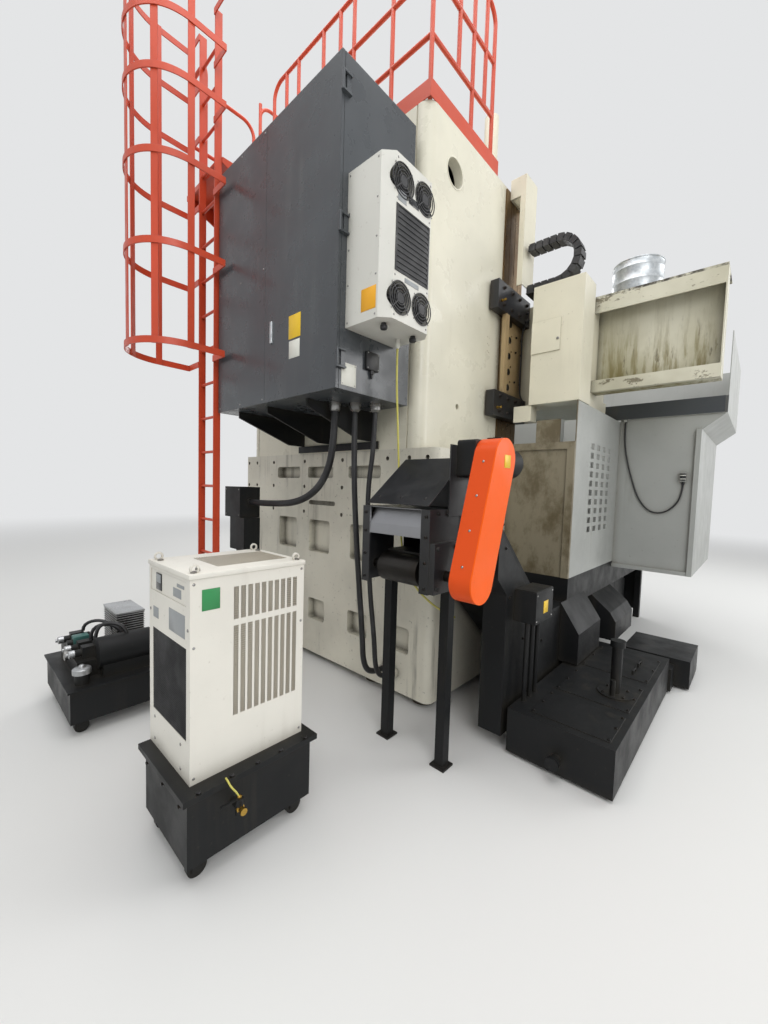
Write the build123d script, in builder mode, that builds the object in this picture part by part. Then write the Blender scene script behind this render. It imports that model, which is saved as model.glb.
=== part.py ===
from build123d import *
import os
from math import atan2, cos, degrees, radians, sin

os.makedirs("parts", exist_ok=True)

# A single-column vertical turret lathe. The origin is on the floor under the table axis,
# +X is the operator's right, -Y the operator's side, +Z up, and lengths are in millimetres.

# Clearances between pieces that slide or turn on each other
slide_gap = 0.3
shaft_fit = 0.05

# Sheet and plate thicknesses
sheet = 6.0
thick_sheet = 10.0
plate = 20.0

# Levelling feet
feet_height = 60.0
foot_radius = 90.0
foot_plate = 34.0
foot_stud_radius = 24.0
foot_inset = 150.0
bed_foot_ys = (-1000.0, -350.0, 300.0)

# Base casting
base_half = 1330.0
base_top = 1950.0
base_corner = 60.0
base_wall = 100.0
bed_half = 1130.0
bed_front = -1130.0
bed_top = 900.0
seat_top = 990.0
seat_radius = 960.0
spindle_radius = 300.0
spindle_depth = 330.0
pocket_depth = 70.0
bolt_radius = 17.0

# Column casting with its guideway in front
column_half = 1165.0
column_front = 1463.0
column_rear = 2596.0
column_top = 4396.0
column_wall = 80.0
column_corner = 85.0
guide_front = 1054.0
side_hole_radius = 102.0
side_hole_y = 2260.0
side_hole_z = 4058.0
small_hole_radius = 22.0
small_hole_y = 2108.0
small_hole_z = 2325.0
way_thick = 14.0
way_inset = 16.0
way_width = 290.0
screw_x = 700.0
screw_y = 945.0
screw_radius = 40.0
screw_foot = 80.0
scale_cover_gap = 110.0
scale_cover_width = 50.0
scale_cover_x = (column_half + scale_cover_gap, column_half + scale_cover_gap + scale_cover_width)
scale_cover_y = (1150.0, 1380.0)
scale_cover_bottom = 3520.0

# Guardrails on the column
kick_height = 122.0
kick_end = 1610.0
rail_radius = 17.0
rail_heights = (4830.0, 5260.0, 5680.0)
rail_bend = 130.0
rail_inset = 24.0
side_post_y = 2035.0
side_baluster_ys = (2236.0, 1850.0)
side_rail_end = 1715.0
rear_rail_end = 866.0
rear_post_xs = (-762.0, -153.0, 449.0)
rear_baluster_xs = (-326.0, 76.0, 647.0)

# Ladder with its cage, and the landing
ladder_x = 603.5
ladder_width = 281.0
ladder_y = 3350.0
ladder_bar = 60.0
ladder_thick = 10.0
ladder_top = 5480.0
rung_pitch = 300.0
rung_first = 120.0
rung_radius = 12.0
cage_centre_y = 3645.0
cage_radius = 350.0
cage_hoop_zs = (2700.0, 3416.0, 4050.0, 4621.0, 5044.0, 5455.0)
cage_strap = 50.0
cage_thick = 8.0
landing_thick = 40.0
landing_start = 440.0

# Electrical cabinet behind the column
cabinet_x = (-1100.0, 432.0)
cabinet_y = (2665.0, 3322.0)
cabinet_z = (2247.0, 4179.0)
cabinet_wall = 12.0
cabinet_seam = -298.0
cabinet_door = 22.0
door_gap = 3.0
hinge_radius = 11.0
hinge_pin = 5.0
hinge_length = 90.0
lug_grip = 40.0
lug_thick = 12.0
handle_z = 2729.0
handle_x = -392.0
handle_length = 150.0
handle_width = 26.0

# Cooling unit on the cabinet's left side
ac_y = (2830.0, 3280.0)
ac_z = (2615.0, 3520.0)
ac_depth = 330.0
ac_chamfer = 60.0
ac_fan_radius = 86.0
ac_fan_depth = 60.0
ac_fan_spread = 200.0
ac_fan_margin = 130.0
filter_margin = 270.0
fan_hub = 30.0
fan_pin = 6.0
fan_blades = 7

# Enclosure round the table, wide enough for the conveyor beside the base
conveyor_gap = 15.0
conveyor_width = 400.0
side_box_width = 160.0
wall_clear = 2.0
wall_x = base_half + conveyor_gap + conveyor_width + side_box_width + wall_clear
wall_rear = 1500.0
wall_front = 154.0
wall_base = 948.0
wall_top = 2400.0
rear_panel_top = 2070.0
wing_reach = 683.0
wing_x = wall_x + wing_reach
wing_base = 890.0
wing_flare = 173.0
wing_flare_x = wing_x + wing_flare
wing_flare_z = (2280.0, 2421.0)
hood_top = 3141.0
fascia_top = 2573.0
fascia_inset = 407.0
fascia_inner = wall_x - fascia_inset
front_y = -1450.0
opening_half = 1150.0
opening_z = (1000.0, 2320.0)
pan_bottom = 700.0
louvre_y = (440.0, 1130.0)
louvre_z = (1290.0, 2110.0)
louvre_columns = 4
louvre_rows = 10

# Sliding front doors
door_overlap = 100.0
door_width = opening_half + door_overlap
door_depth = 40.0
door_z = (960.0, 2370.0)
door_clear = 22.0
track_end = 40.0
track_x = opening_half + door_width + track_end
window_margin = 300.0
window_x = (window_margin, door_width - window_margin)
window_z = (1350.0, 2150.0)
glass_thick = 12.0

# Chip conveyor on the left, rising to the rear
conveyor_x = (-base_half - conveyor_gap - conveyor_width, -base_half - conveyor_gap)
conveyor_front = -1250.0
conveyor_low_z = (150.0, 530.0)
incline_low = (2366.0, 888.0)
incline_high = (2138.0, 1181.0)
incline_slope = 0.9
casing_wall = 8.0
chute_inset = 20.0
chute_x = (conveyor_x[0] + chute_inset, conveyor_x[1] - chute_inset)
conveyor_leg_ys = (-900.0, 900.0)
belt_thick = 12.0
belt_end = 150.0
head_overhang = (9.0, 95.0)
head_x = (conveyor_x[0] - head_overhang[0], conveyor_x[1] + head_overhang[1])
head_y = (2950.0, 3230.0)
head_z = (1080.0, 1540.0)
head_post = 60.0
head_shaft_y = 3110.0
head_shaft_z = 1175.0
head_shaft_radius = 30.0
drum_roller_radius = 90.0
hood_low = (3250.0, 1562.0)
hood_crest = (2910.0, 1838.0)
hood_inset = 58.0
hood_right = head_x[1] - hood_inset
guard_gap = 126.0
guard_width = 130.0
guard_x = (head_x[0] - guard_gap - guard_width, head_x[0] - guard_gap)
guard_top_y = 2911.0
guard_top_z = 1823.0
guard_radius = 113.0
shaft_hole_radius = 45.0
sprocket_inset = 60.0
sprocket_width = 20.0
sprocket_x = (guard_x[0] + sprocket_inset, guard_x[0] + sprocket_inset + sprocket_width)
sprocket_radius = 90.0
small_sprocket_radius = 60.0
chain_band = 8.0
motor_radius = 95.0
motor_neck = 56.0
side_box_x = (conveyor_x[0] - side_box_width, conveyor_x[0])
side_box_front = 1460.0
side_box_rear = 2600.0
side_box_top = 1000.0

# Coolant tank beside the conveyor
tank_gap = 40.0
tank_width = 608.0
tank_x = (side_box_x[0] - tank_gap - tank_width, side_box_x[0] - tank_gap)
tank_y = (890.0, 2598.0)
tank_top = 296.0
tank_clear = 20.0
pump_inset = 169.0
pump_x = tank_x[0] + pump_inset
pump_y = 1902.0

# Oil chiller on its cart
chiller_x = (-1392.0, -933.0)
chiller_y = (3769.0, 4321.0)
chiller_z = (405.0, 1279.0)
chiller_wall = 4.0
vent_count = 10
vent_share = 0.66
vent_y = (chiller_y[0] + 36.0, chiller_y[1] - 180.0)
vent_fields = ((chiller_z[0] + 229.0, chiller_z[0] + 629.0), (chiller_z[0] + 657.0, chiller_z[0] + 800.0))
intake_x = (chiller_x[0] + 35.0, chiller_x[1] - 44.0)
intake_z = (chiller_z[0] + 176.0, chiller_z[0] + 566.0)
intake_lap = 8.0
intake_depth = 12.0
recess_x = (chiller_x[0] + 35.0, chiller_x[1] - 20.0)
recess_z = (chiller_z[0] + 740.0, chiller_z[0] + 841.0)
recess_depth = 3.0
chiller_pump_top = chiller_z[0] + 300.0
chiller_coil_x = (chiller_x[0] + 60.0, chiller_x[0] + 110.0)
cart_x = (-1440.0, -963.0)
cart_y = (3750.0, 4350.0)
cart_z = (90.0, 380.0)
caster_radius = 42.0

# Hydraulic power unit
hydraulic_x = (75.0, 875.0)
hydraulic_y = (3860.0, 4460.0)
hydraulic_z = (90.0, 310.0)

# Crossrail at its lowest place
rail_half = 1800.0
rail_y = (330.0, 1039.7)
rail_z = (2440.0, 3440.0)
rail_wall = 60.0
rail_top_rib = 40.0
front_way = 130.0
front_web = 90.0
feed_screw_radius = 28.0
clamp_reach = 97.0
clamp_x = column_half + clamp_reach
clamp_rear = 1680.0
clamp_low_z = (2320.0, 2540.0)
clamp_high_z = (3240.0, 3480.0)
clamp_gap = 2.0
clamp_head = 10.0
keeper_thick = 25.0
keeper_y = 1455.0
keeper_pitch = 140.0
keeper_big = 20.0
keeper_small = 11.0
end_box_inset = 320.0
end_box_reach = 100.0
end_box_x = (rail_half - end_box_inset, rail_half + end_box_reach)
end_box_y = (1190.0, 1460.0)
end_box_z = (2410.0, 3410.0)
guard_box_length = 943.0
guard_box_x = (-rail_half - guard_box_length, -rail_half)
guard_box_y = (430.0, 850.0)
guard_box_z = (2592.0, 3455.0)
guard_web_y = 680.0
guard_lip_top = 150.0
guard_lip_low = 106.0
drum_radius = 200.0
drum_height = 260.0
drum_reach = 285.0
drum_x = -rail_half - drum_reach
drum_y = 640.0
chain_y = (1210.0, 1330.0)
chain_radius = 180.0
chain_link = 62.0
chain_end_inset = 455.0
chain_loop_inset = 200.0
chain_end_x = chain_end_inset - rail_half
chain_loop_x = chain_loop_inset - rail_half

# Saddle, ram and tool turret
saddle_half = 350.0
saddle_front = -235.0
saddle_z = (2520.0, 3440.0)
saddle_hook = 70.0
ram_half = 165.0
ram_bottom = 2180.0
ram_top = 4150.0
turret_radius = 270.0
turret_height = 230.0
turret_stations = 6
turret_pin = 60.0

# Work table and jaws
table_radius = 1000.0
table_top = 1150.0
table_bore = 100.0
land_radius = 235.0
land_height = 3.0
slot_count = 12
slot_width = 36.0
slot_depth = 70.0
slot_foot = 60.0
slot_inner = 420.0
jaw_slot = 60.0
jaw_slot_inner = 240.0
jaw_length = 300.0
jaw_width = 170.0
jaw_height = 190.0
jaw_place = 600.0
jaw_step = 95.0
jaw_count = 4

# Operator's pendant
pendant_inset = 173.0
pendant_x = wall_x + pendant_inset
pendant_reach = 460.0
pendant_pivot_z = 2700.0
pendant_z = (1330.0, 1880.0)
pendant_width = 420.0
pendant_depth = 140.0
pendant_bracket = 120.0
pendant_socket = 60.0
arm_radius = 34.0
pivot_radius = 20.0
button_stem = 8.0
button_travel = 5.0

# Free cords: the points of each route, chosen by hand, and the radius
conduit_1_route = [(-749, 3050, 2207), (-749, 3050, 1910), (-640, 3056, 1665), (-395, 3060, 1525),
                   (-20, 3050, 1482), (390, 3050, 1482)]
conduit_2_route = [(-853, 2950, 2207), (-853, 2950, 1850), (-858, 2925, 1420), (-880, 2895, 960),
                   (-905, 2868, 560), (-902, 2846, 310), (-900, 2751, 215), (-900, 2626, 215)]
conduit_3_route = [(-957, 2850, 2207), (-957, 2850, 1950), (-915, 2862, 1640), (-928, 2858, 1270),
                   (-955, 2850, 880), (-1005, 2842, 540), (-1012, 2828, 300), (-1010, 2738, 212),
                   (-1010, 2626, 212)]
drain_hose_route = [(-1230, 2938, 2575), (-1230, 2938, 2370), (-1226, 2915, 2165), (-1232, 2903, 1960),
                    (-1229, 2884, 1755), (-1234, 2868, 1550), (-1230, 2848, 1345), (-1240, 2815, 1145),
                    (-1290, 2755, 965), (-1400, 2665, 835), (-1470, 2560, 765), (-1455, 2440, 712),
                    (-1350, 2440, 712)]
wing_cable_route = [(-1955, 166, 2395), (-1955, 166, 2200), (-1990, 170, 2000), (-2045, 168, 1800),
                    (-2110, 166, 1610), (-2215, 170, 1480), (-2345, 166, 1482), (-2445, 168, 1585),
                    (-2474, 166, 1715), (-2474, 166, 1790)]
cords = [("conduit_1", conduit_1_route, 27.0), ("conduit_2", conduit_2_route, 22.0),
         ("conduit_3", conduit_3_route, 19.0), ("drain_hose", drain_hose_route, 7.0),
         ("wing_cable", wing_cable_route, 7.0)]
conduit_gland = 36.0
hose_boss = 14.0


def block(x, y, z, mode=Mode.ADD):
    """A box between two corners, given as pairs of coordinates."""
    low_x, high_x = min(x), max(x)
    with Locations(((low_x + high_x) / 2, (y[0] + y[1]) / 2, (z[0] + z[1]) / 2)):
        Box(high_x - low_x, y[1] - y[0], z[1] - z[0], mode=mode)


def rod(start, end, radius, mode=Mode.ADD):
    """A round bar between two points."""
    axis = Vector(*end) - Vector(*start)
    with BuildSketch(Plane(origin=start, z_dir=axis)) as disc:
        Circle(radius)
    extrude(disc.sketch, amount=axis.length, mode=mode)


def ring(start, end, outer, inner, mode=Mode.ADD):
    """A tube between two points."""
    axis = Vector(*end) - Vector(*start)
    with BuildSketch(Plane(origin=start, z_dir=axis)) as disc:
        Circle(outer)
        Circle(inner, mode=Mode.SUBTRACT)
    extrude(disc.sketch, amount=axis.length, mode=mode)


def side_profile(points, x, mode=Mode.ADD):
    """A prism along X whose profile is given as (y, z) points."""
    with BuildSketch(Plane.YZ.offset(min(x))) as face:
        with BuildLine():
            Polyline(*points, close=True)
        make_face()
    extrude(face.sketch, amount=max(x) - min(x), dir=(1, 0, 0), mode=mode)


def front_profile(points, y, mode=Mode.ADD):
    """A prism along Y whose profile is given as (x, z) points."""
    with BuildSketch(Plane.XZ.offset(-min(y))) as face:
        with BuildLine():
            Polyline(*points, close=True)
        make_face()
    extrude(face.sketch, amount=max(y) - min(y), dir=(0, 1, 0), mode=mode)


def bent_tube(points, radius, bends):
    """A round bar that follows straight runs joined by arcs."""
    with BuildLine() as route:
        FilletPolyline(*points, radius=bends)
    with BuildSketch(Plane(origin=route.line @ 0, z_dir=route.line % 0)) as disc:
        Circle(radius)
    sweep(disc.sketch, path=route.line)


def cord_bends(name, points, share=0.45):
    """The largest arc that each corner of a cord's route can take, printed to be checked."""
    bends = []
    for before, corner, after in zip(points, points[1:], points[2:]):
        first = Vector(*corner) - Vector(*before)
        second = Vector(*after) - Vector(*corner)
        half_turn = radians(first.get_angle(second)) / 2
        bends.append(share * min(first.length, second.length) * cos(half_turn) / sin(half_turn))
    print(name, "bend radii", [round(bend) for bend in bends])
    return bends


def hollow(x, y, z, wall):
    """An empty space inside a box, a wall in from each of its faces."""
    block((min(x) + wall, max(x) - wall), (y[0] + wall, y[1] - wall), (z[0] + wall, z[1] - wall),
          Mode.SUBTRACT)


# Levelling feet under the base
rear_foot_ys = (column_front + foot_inset, (column_front + column_rear) / 2, column_rear - foot_inset)
feet = [(side * (base_half - foot_inset), y) for side in (-1, 1) for y in rear_foot_ys]
feet += [(side * base_half / 2, column_rear - foot_inset) for side in (-1, 1)]
feet += [(side * (bed_half - base_wall / 2), y) for side in (-1, 1) for y in bed_foot_ys]
feet += [(0, 0)]
with BuildPart() as levelling_feet:
    with Locations(*[(x, y, 0) for x, y in feet]):
        Cylinder(foot_radius, foot_plate, align=(Align.CENTER, Align.CENTER, Align.MIN))
        Cylinder(foot_stud_radius, feet_height, align=(Align.CENTER, Align.CENTER, Align.MIN))
levelling_feet.part.label = "levelling_feet"
export_step(levelling_feet.part, "parts/levelling_feet.step")

# Base casting: the bed with the table seat in front, the column's pedestal behind
rear_pockets = [(480, 1775, 386, 111), (-23, 1775, 370, 104), (-600, 1775, 380, 104)]
rear_pockets += [(x, 1180, 300, 300) for x in (480, -23, -600)]
rear_pockets += [(x, 480, 240, 200) for x in (-1010, -560, 0, 560)]
rear_bolt_xs = (80 - base_half, 250 - base_half, -860, -330, 215, 750, base_half - 250, base_half - 80)
rear_bolt_zs = (1880, 1640, 1400)
with BuildPart() as base_casting:
    block((-base_half, base_half), (column_front, column_rear), (feet_height, base_top))
    fillet(base_casting.edges().filter_by(Axis.Z).sort_by(Axis.Y)[-2:], base_corner)
    block((-column_half, column_half), (guide_front, column_front), (feet_height, base_top))
    block((-bed_half, bed_half), (bed_front, guide_front), (feet_height, bed_top))
    rod((0, 0, bed_top), (0, 0, seat_top), seat_radius)
    block((base_wall - bed_half, bed_half - base_wall), (bed_front + base_wall, guide_front - base_wall),
          (feet_height, bed_top - base_wall), Mode.SUBTRACT)
    rod((0, 0, feet_height), (0, 0, bed_top), spindle_radius + base_wall + shaft_fit)
    block((base_wall - column_half, column_half - base_wall),
          (guide_front + base_wall, column_rear - pocket_depth - base_wall),
          (feet_height, base_top - base_wall), Mode.SUBTRACT)
    rod((0, 0, seat_top - spindle_depth), (0, 0, seat_top), spindle_radius + shaft_fit, Mode.SUBTRACT)
    for route in (conduit_2_route, conduit_3_route):
        x, y, z = route[-1]
        rod((x, column_rear, z), (x, y, z), conduit_gland)
    rod((-base_half, drain_hose_route[-1][1], drain_hose_route[-1][2]), drain_hose_route[-1], hose_boss)
    with BuildSketch(Plane.XZ.offset(-column_rear)):
        for x, z, width, height in rear_pockets:
            with Locations((x, z)):
                RectangleRounded(width, height, 24)
    extrude(amount=pocket_depth, mode=Mode.SUBTRACT)
    with BuildSketch(Plane.XZ.offset(-column_rear)):
        with Locations(*[(x, z) for x in rear_bolt_xs for z in rear_bolt_zs]):
            Circle(bolt_radius)
        with Locations((-53, 1492)):
            SlotOverall(380, 40)
    extrude(amount=2 * bolt_radius, mode=Mode.SUBTRACT)
base_casting.part.label = "base_casting"
export_step(base_casting.part, "parts/base_casting.step")

# Column casting, hollow, open at its foot, with the guideway box in front
side_bolts = [(1662, 3010), (1635, 3002), (1662, 2950), (1635, 2942), (1662, 2890), (1635, 2882)]
with BuildPart() as column_casting:
    block((-column_half, column_half), (column_front, column_rear), (base_top, column_top))
    fillet(column_casting.edges().filter_by(Axis.Z).sort_by(Axis.Y)[-2:], column_corner)
    block((-column_half, column_half), (guide_front, column_front), (base_top, column_top))
    block((column_wall - column_half, column_half - column_wall),
          (guide_front + column_wall, column_rear - column_wall),
          (base_top, column_top - column_wall), Mode.SUBTRACT)
    block((-column_wall / 2, column_wall / 2), (guide_front + column_wall, column_rear - column_wall),
          (base_top, column_top - column_wall))
    for side in (-1, 1):
        inner = side * (column_half - column_wall - 1)
        outer = side * (column_half + 1)
        rod((inner, side_hole_y, side_hole_z), (outer, side_hole_y, side_hole_z),
            side_hole_radius, Mode.SUBTRACT)
        rod((inner, small_hole_y, small_hole_z), (outer, small_hole_y, small_hole_z),
            small_hole_radius, Mode.SUBTRACT)
        groove = side * (column_half - column_corner - 30)
        block((groove - 6, groove + 6), (column_rear - 8, column_rear), (base_top, column_top),
              Mode.SUBTRACT)
        for y, z in side_bolts:
            rod((outer - side * 16, y, z), (outer, y, z), 5, Mode.SUBTRACT)
column_casting.part.label = "column_casting"
export_step(column_casting.part, "parts/column_casting.step")

# Steel ways on the guideway, and the two screws that raise the crossrail
way_y = (guide_front + way_inset, column_front - way_inset)
way_z = (base_top + 20, column_top - 20)
screw_bracket = (base_top - 160.0, base_top)
with BuildPart() as column_ways:
    for side in (-1, 1):
        block((side * column_half, side * (column_half + way_thick)), way_y, way_z)
        for share in (0.25, 0.5, 0.75):
            line_y = way_y[0] + share * (way_y[1] - way_y[0])
            block((side * (column_half + way_thick - 3), side * (column_half + way_thick)),
                  (line_y - 4, line_y + 4), way_z, Mode.SUBTRACT)
        block((side * (column_half - way_inset), side * (column_half - way_inset - way_width)),
              (guide_front - way_thick, guide_front), way_z)
        block((side * (screw_x - screw_foot), side * (screw_x + screw_foot)),
              (screw_y - screw_foot, guide_front), screw_bracket)
        rod((side * screw_x, screw_y, base_top), (side * screw_x, screw_y, column_top), screw_radius)
column_ways.part.label = "column_ways"
export_step(column_ways.part, "parts/column_ways.step")

# Drive on the column's top that turns the two screws together
gearbox_half = 110.0
gearbox_y = (screw_y - 105.0, guide_front + 150.0)
gearbox_height = 190.0
cross_shaft_radius = 26.0
cross_shaft_z = column_top + 100.0
drive_half = 150.0
tower_radius = 72.0
tower_top = 5560.0
drive_motor_radius = 125.0
drive_motor_height = 480.0
with BuildPart() as rail_drive:
    for side in (-1, 1):
        block((side * (screw_x - gearbox_half), side * (screw_x + gearbox_half)), gearbox_y,
              (column_top, column_top + gearbox_height))
        rod((side * screw_x, screw_y, column_top + gearbox_height),
            (side * screw_x, screw_y, tower_top), tower_radius)
        rod((side * drive_half, screw_y, cross_shaft_z),
            (side * (screw_x - gearbox_half), screw_y, cross_shaft_z), cross_shaft_radius)
    block((-drive_half, drive_half), gearbox_y, (column_top, column_top + gearbox_height + 40))
    rod((0, guide_front, column_top + gearbox_height + 40),
        (0, guide_front, column_top + gearbox_height + 40 + drive_motor_height), drive_motor_radius)
    ring((0, guide_front, column_top + gearbox_height + 40),
         (0, guide_front, column_top + gearbox_height + 62), drive_motor_radius + 25, drive_motor_radius)
rail_drive.part.label = "rail_drive"
export_step(rail_drive.part, "parts/rail_drive.step")

# Open brackets on the column's front corners with the upright covers of the measuring scales
cover_bracket_z = (column_top - 90.0, column_top + 80.0)
cover_inner = column_half + way_thick
with BuildPart() as column_covers:
    for side in (-1, 1):
        block((side * cover_inner, side * scale_cover_x[1]), scale_cover_y, cover_bracket_z)
        block((side * (cover_inner + plate), side * (scale_cover_x[1] - plate)),
              (scale_cover_y[0] + plate, scale_cover_y[1] - plate), cover_bracket_z, Mode.SUBTRACT)
        block((side * scale_cover_x[0], side * scale_cover_x[1]), scale_cover_y,
              (scale_cover_bottom, cover_bracket_z[0]))
        block((side * scale_cover_x[0], side * (scale_cover_x[1] - sheet)),
              (scale_cover_y[0] + sheet, scale_cover_y[1] - sheet),
              (scale_cover_bottom, cover_bracket_z[0]), Mode.SUBTRACT)
column_covers.part.label = "column_covers"
export_step(column_covers.part, "parts/column_covers.step")

# Guardrails with their kick plates, on the column's top edge
rail_x = column_half - rail_inset
rail_rear = column_rear - rail_inset
top_rail = rail_heights[-1]
with BuildPart() as guardrails:
    for side in (-1, 1):
        block((side * column_half, side * (column_half - sheet)), (kick_end, column_rear),
              (column_top, column_top + kick_height))
        for y in (side_post_y, rail_rear):
            rod((side * rail_x, y, column_top), (side * rail_x, y, top_rail), rail_radius)
        for y in side_baluster_ys:
            rod((side * rail_x, y, rail_heights[0]), (side * rail_x, y, top_rail), rail_radius)
        for z in rail_heights[:-1]:
            rod((side * rail_x, side_rail_end, z), (side * rail_x, rail_rear, z), rail_radius)
    block((-column_half, rear_rail_end), (column_rear - sheet, column_rear),
          (column_top, column_top + kick_height))
    bent_tube([(-rail_x, side_rail_end, column_top), (-rail_x, side_rail_end, top_rail),
               (-rail_x, rail_rear, top_rail), (rear_rail_end, rail_rear, top_rail),
               (rear_rail_end, rail_rear, column_top)], rail_radius, rail_bend)
    bent_tube([(rail_x, side_rail_end, column_top), (rail_x, side_rail_end, top_rail),
               (rail_x, rail_rear, top_rail), (rail_x, rail_rear, column_top)], rail_radius, rail_bend)
    for x in rear_post_xs:
        rod((x, rail_rear, column_top), (x, rail_rear, top_rail), rail_radius)
    for x in rear_baluster_xs:
        rod((x, rail_rear, rail_heights[0]), (x, rail_rear, top_rail), rail_radius)
    for z in rail_heights[:-1]:
        rod((-rail_x, rail_rear, z), (rear_rail_end, rail_rear, z), rail_radius)
guardrails.part.label = "guardrails"
export_step(guardrails.part, "parts/guardrails.step")

# Fixed ladder and the landing from it to the column's top
ladder_half = ladder_width / 2
landing_x = (landing_start, column_half)
landing_y = (column_rear, ladder_y - ladder_bar / 2)
arch_x = column_half - rail_inset
rung_count = int((ladder_top - rung_first) // rung_pitch) + 1
with BuildPart() as access_ladder:
    for side in (-1, 1):
        rail = ladder_x + side * ladder_half
        block((rail, rail + side * ladder_thick), (ladder_y - ladder_bar / 2, ladder_y + ladder_bar / 2),
              (0, ladder_top))
    for number in range(rung_count):
        z = rung_first + number * rung_pitch
        rod((ladder_x - ladder_half, ladder_y, z), (ladder_x + ladder_half, ladder_y, z), rung_radius)
    block(landing_x, landing_y, (column_top - landing_thick, column_top - landing_thick + sheet))
    for y in (landing_y[0] + 5, (landing_y[0] + landing_y[1]) / 2, landing_y[1] - 5):
        block(landing_x, (y - 5, y + 5), (column_top - 2 * landing_thick, column_top - landing_thick))
    for x in (landing_x[0] + 5, landing_x[1] - 5):
        side_profile([(column_rear, column_top - 10 * landing_thick),
                      (column_rear, column_top - landing_thick),
                      (landing_y[1], column_top - landing_thick),
                      (landing_y[1], column_top - 2 * landing_thick)],
                     (x - 5, x + 5))
    bent_tube([(arch_x, landing_y[0] + 50, column_top - landing_thick),
               (arch_x, landing_y[0] + 50, rail_heights[1] + 150),
               (arch_x, landing_y[1] - 40, rail_heights[1] + 150),
               (arch_x, landing_y[1] - 40, column_top - landing_thick)], rail_radius, rail_bend)
    rod((arch_x, landing_y[0] + 50, rail_heights[0]), (arch_x, landing_y[1] - 40, rail_heights[0]),
        rail_radius)
    bent_tube([(ladder_x + ladder_half + 110, landing_y[1] - 40, column_top - landing_thick),
               (ladder_x + ladder_half + 110, landing_y[1] - 40, rail_heights[1] + 150),
               (arch_x, landing_y[1] - 40, rail_heights[1] + 150)], rail_radius, rail_bend)
access_ladder.part.label = "access_ladder"
export_step(access_ladder.part, "parts/access_ladder.step")

# Safety cage round the ladder: flat hoops with upright flats inside them
cage_back = ladder_y + ladder_bar / 2
strap_angles = (0, 42, 90, 138, 180)
strap_radius = cage_radius - cage_thick * 1.5
with BuildPart() as ladder_cage:
    for z in cage_hoop_zs:
        with BuildSketch(Plane.XY.offset(z - cage_strap / 2)):
            with Locations((ladder_x, cage_centre_y)):
                Circle(cage_radius)
                Circle(cage_radius - cage_thick, mode=Mode.SUBTRACT)
            with Locations((ladder_x, cage_centre_y - cage_radius)):
                Rectangle(2 * cage_radius, 2 * cage_radius, mode=Mode.SUBTRACT)
            for side in (-1, 1):
                with Locations((ladder_x + side * (cage_radius - cage_thick / 2),
                                (cage_back + cage_centre_y) / 2)):
                    Rectangle(cage_thick, cage_centre_y - cage_back)
                with Locations((ladder_x + side * (cage_radius + ladder_half) / 2,
                                cage_back + cage_thick / 2)):
                    Rectangle(cage_radius - ladder_half, cage_thick)
        extrude(amount=cage_strap)
    for angle in strap_angles:
        place_x = ladder_x + strap_radius * cos(radians(angle))
        place_y = cage_centre_y + strap_radius * sin(radians(angle))
        with Locations(Location((place_x, place_y, cage_hoop_zs[0] - cage_strap / 2), (0, 0, angle))):
            Box(cage_thick, cage_strap, cage_hoop_zs[-1] - cage_hoop_zs[0] + cage_strap,
                align=(Align.CENTER, Align.CENTER, Align.MIN))
ladder_cage.part.label = "ladder_cage"
export_step(ladder_cage.part, "parts/ladder_cage.step")

# Electrical cabinet shell with its glands, door hinges, mullion and the gear on its back wall
hinge_x = cabinet_x[0] - hinge_radius - 1
hinge_y = cabinet_y[1] + door_gap + cabinet_door
hinge_zs = (cabinet_z[0] + 180, (cabinet_z[0] + cabinet_z[1]) / 2, cabinet_z[1] - 180)
gear_rows = [(3750, 260, (-900, -640, -380, -120, 140)), (3250, 320, (-870, -500, -130, 200)),
             (2720, 220, (-900, -700, -500, -300, -100, 100, 250))]
gear_width = 170.0
gear_depth = 180.0
mullion_half = 30.0
with BuildPart() as cabinet_shell:
    block(cabinet_x, cabinet_y, cabinet_z)
    block((cabinet_x[0] + cabinet_wall, cabinet_x[1] - cabinet_wall),
          (cabinet_y[0] + cabinet_wall, cabinet_y[1]),
          (cabinet_z[0] + cabinet_wall, cabinet_z[1] - cabinet_wall), Mode.SUBTRACT)
    block((cabinet_seam - mullion_half, cabinet_seam + mullion_half),
          (cabinet_y[1] - mullion_half, cabinet_y[1]),
          cabinet_z)
    for z, height, centres in gear_rows:
        for x in centres:
            block((x - gear_width / 2, x + gear_width / 2),
                  (cabinet_y[0] + cabinet_wall, cabinet_y[0] + cabinet_wall + gear_depth),
                  (z - height / 2, z + height / 2))
    for z in hinge_zs:
        for end in (-1, 1):
            lug_z = sorted((z + end * (hinge_length / 2 + slide_gap),
                            z + end * (hinge_length / 2 + lug_thick)))
            block((hinge_x - hinge_radius, hinge_x + hinge_radius), (cabinet_y[1] - lug_grip, hinge_y),
                  lug_z)
            rod((hinge_x, hinge_y, lug_z[0]), (hinge_x, hinge_y, lug_z[1]), hinge_radius)
        block((cabinet_x[0], hinge_x), (cabinet_y[1] - lug_grip, cabinet_y[1] - 4),
              (z - hinge_length / 2 - lug_thick, z + hinge_length / 2 + lug_thick))
        rod((hinge_x, hinge_y, z - hinge_length / 2 - 6), (hinge_x, hinge_y, z + hinge_length / 2 + 6),
            hinge_pin)
    for x, y, z in (conduit_1_route[0], conduit_2_route[0], conduit_3_route[0]):
        rod((x, y, z), (x, y, cabinet_z[0]), conduit_gland)
cabinet_shell.part.label = "cabinet_shell"
export_step(cabinet_shell.part, "parts/cabinet_shell.step")

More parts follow.
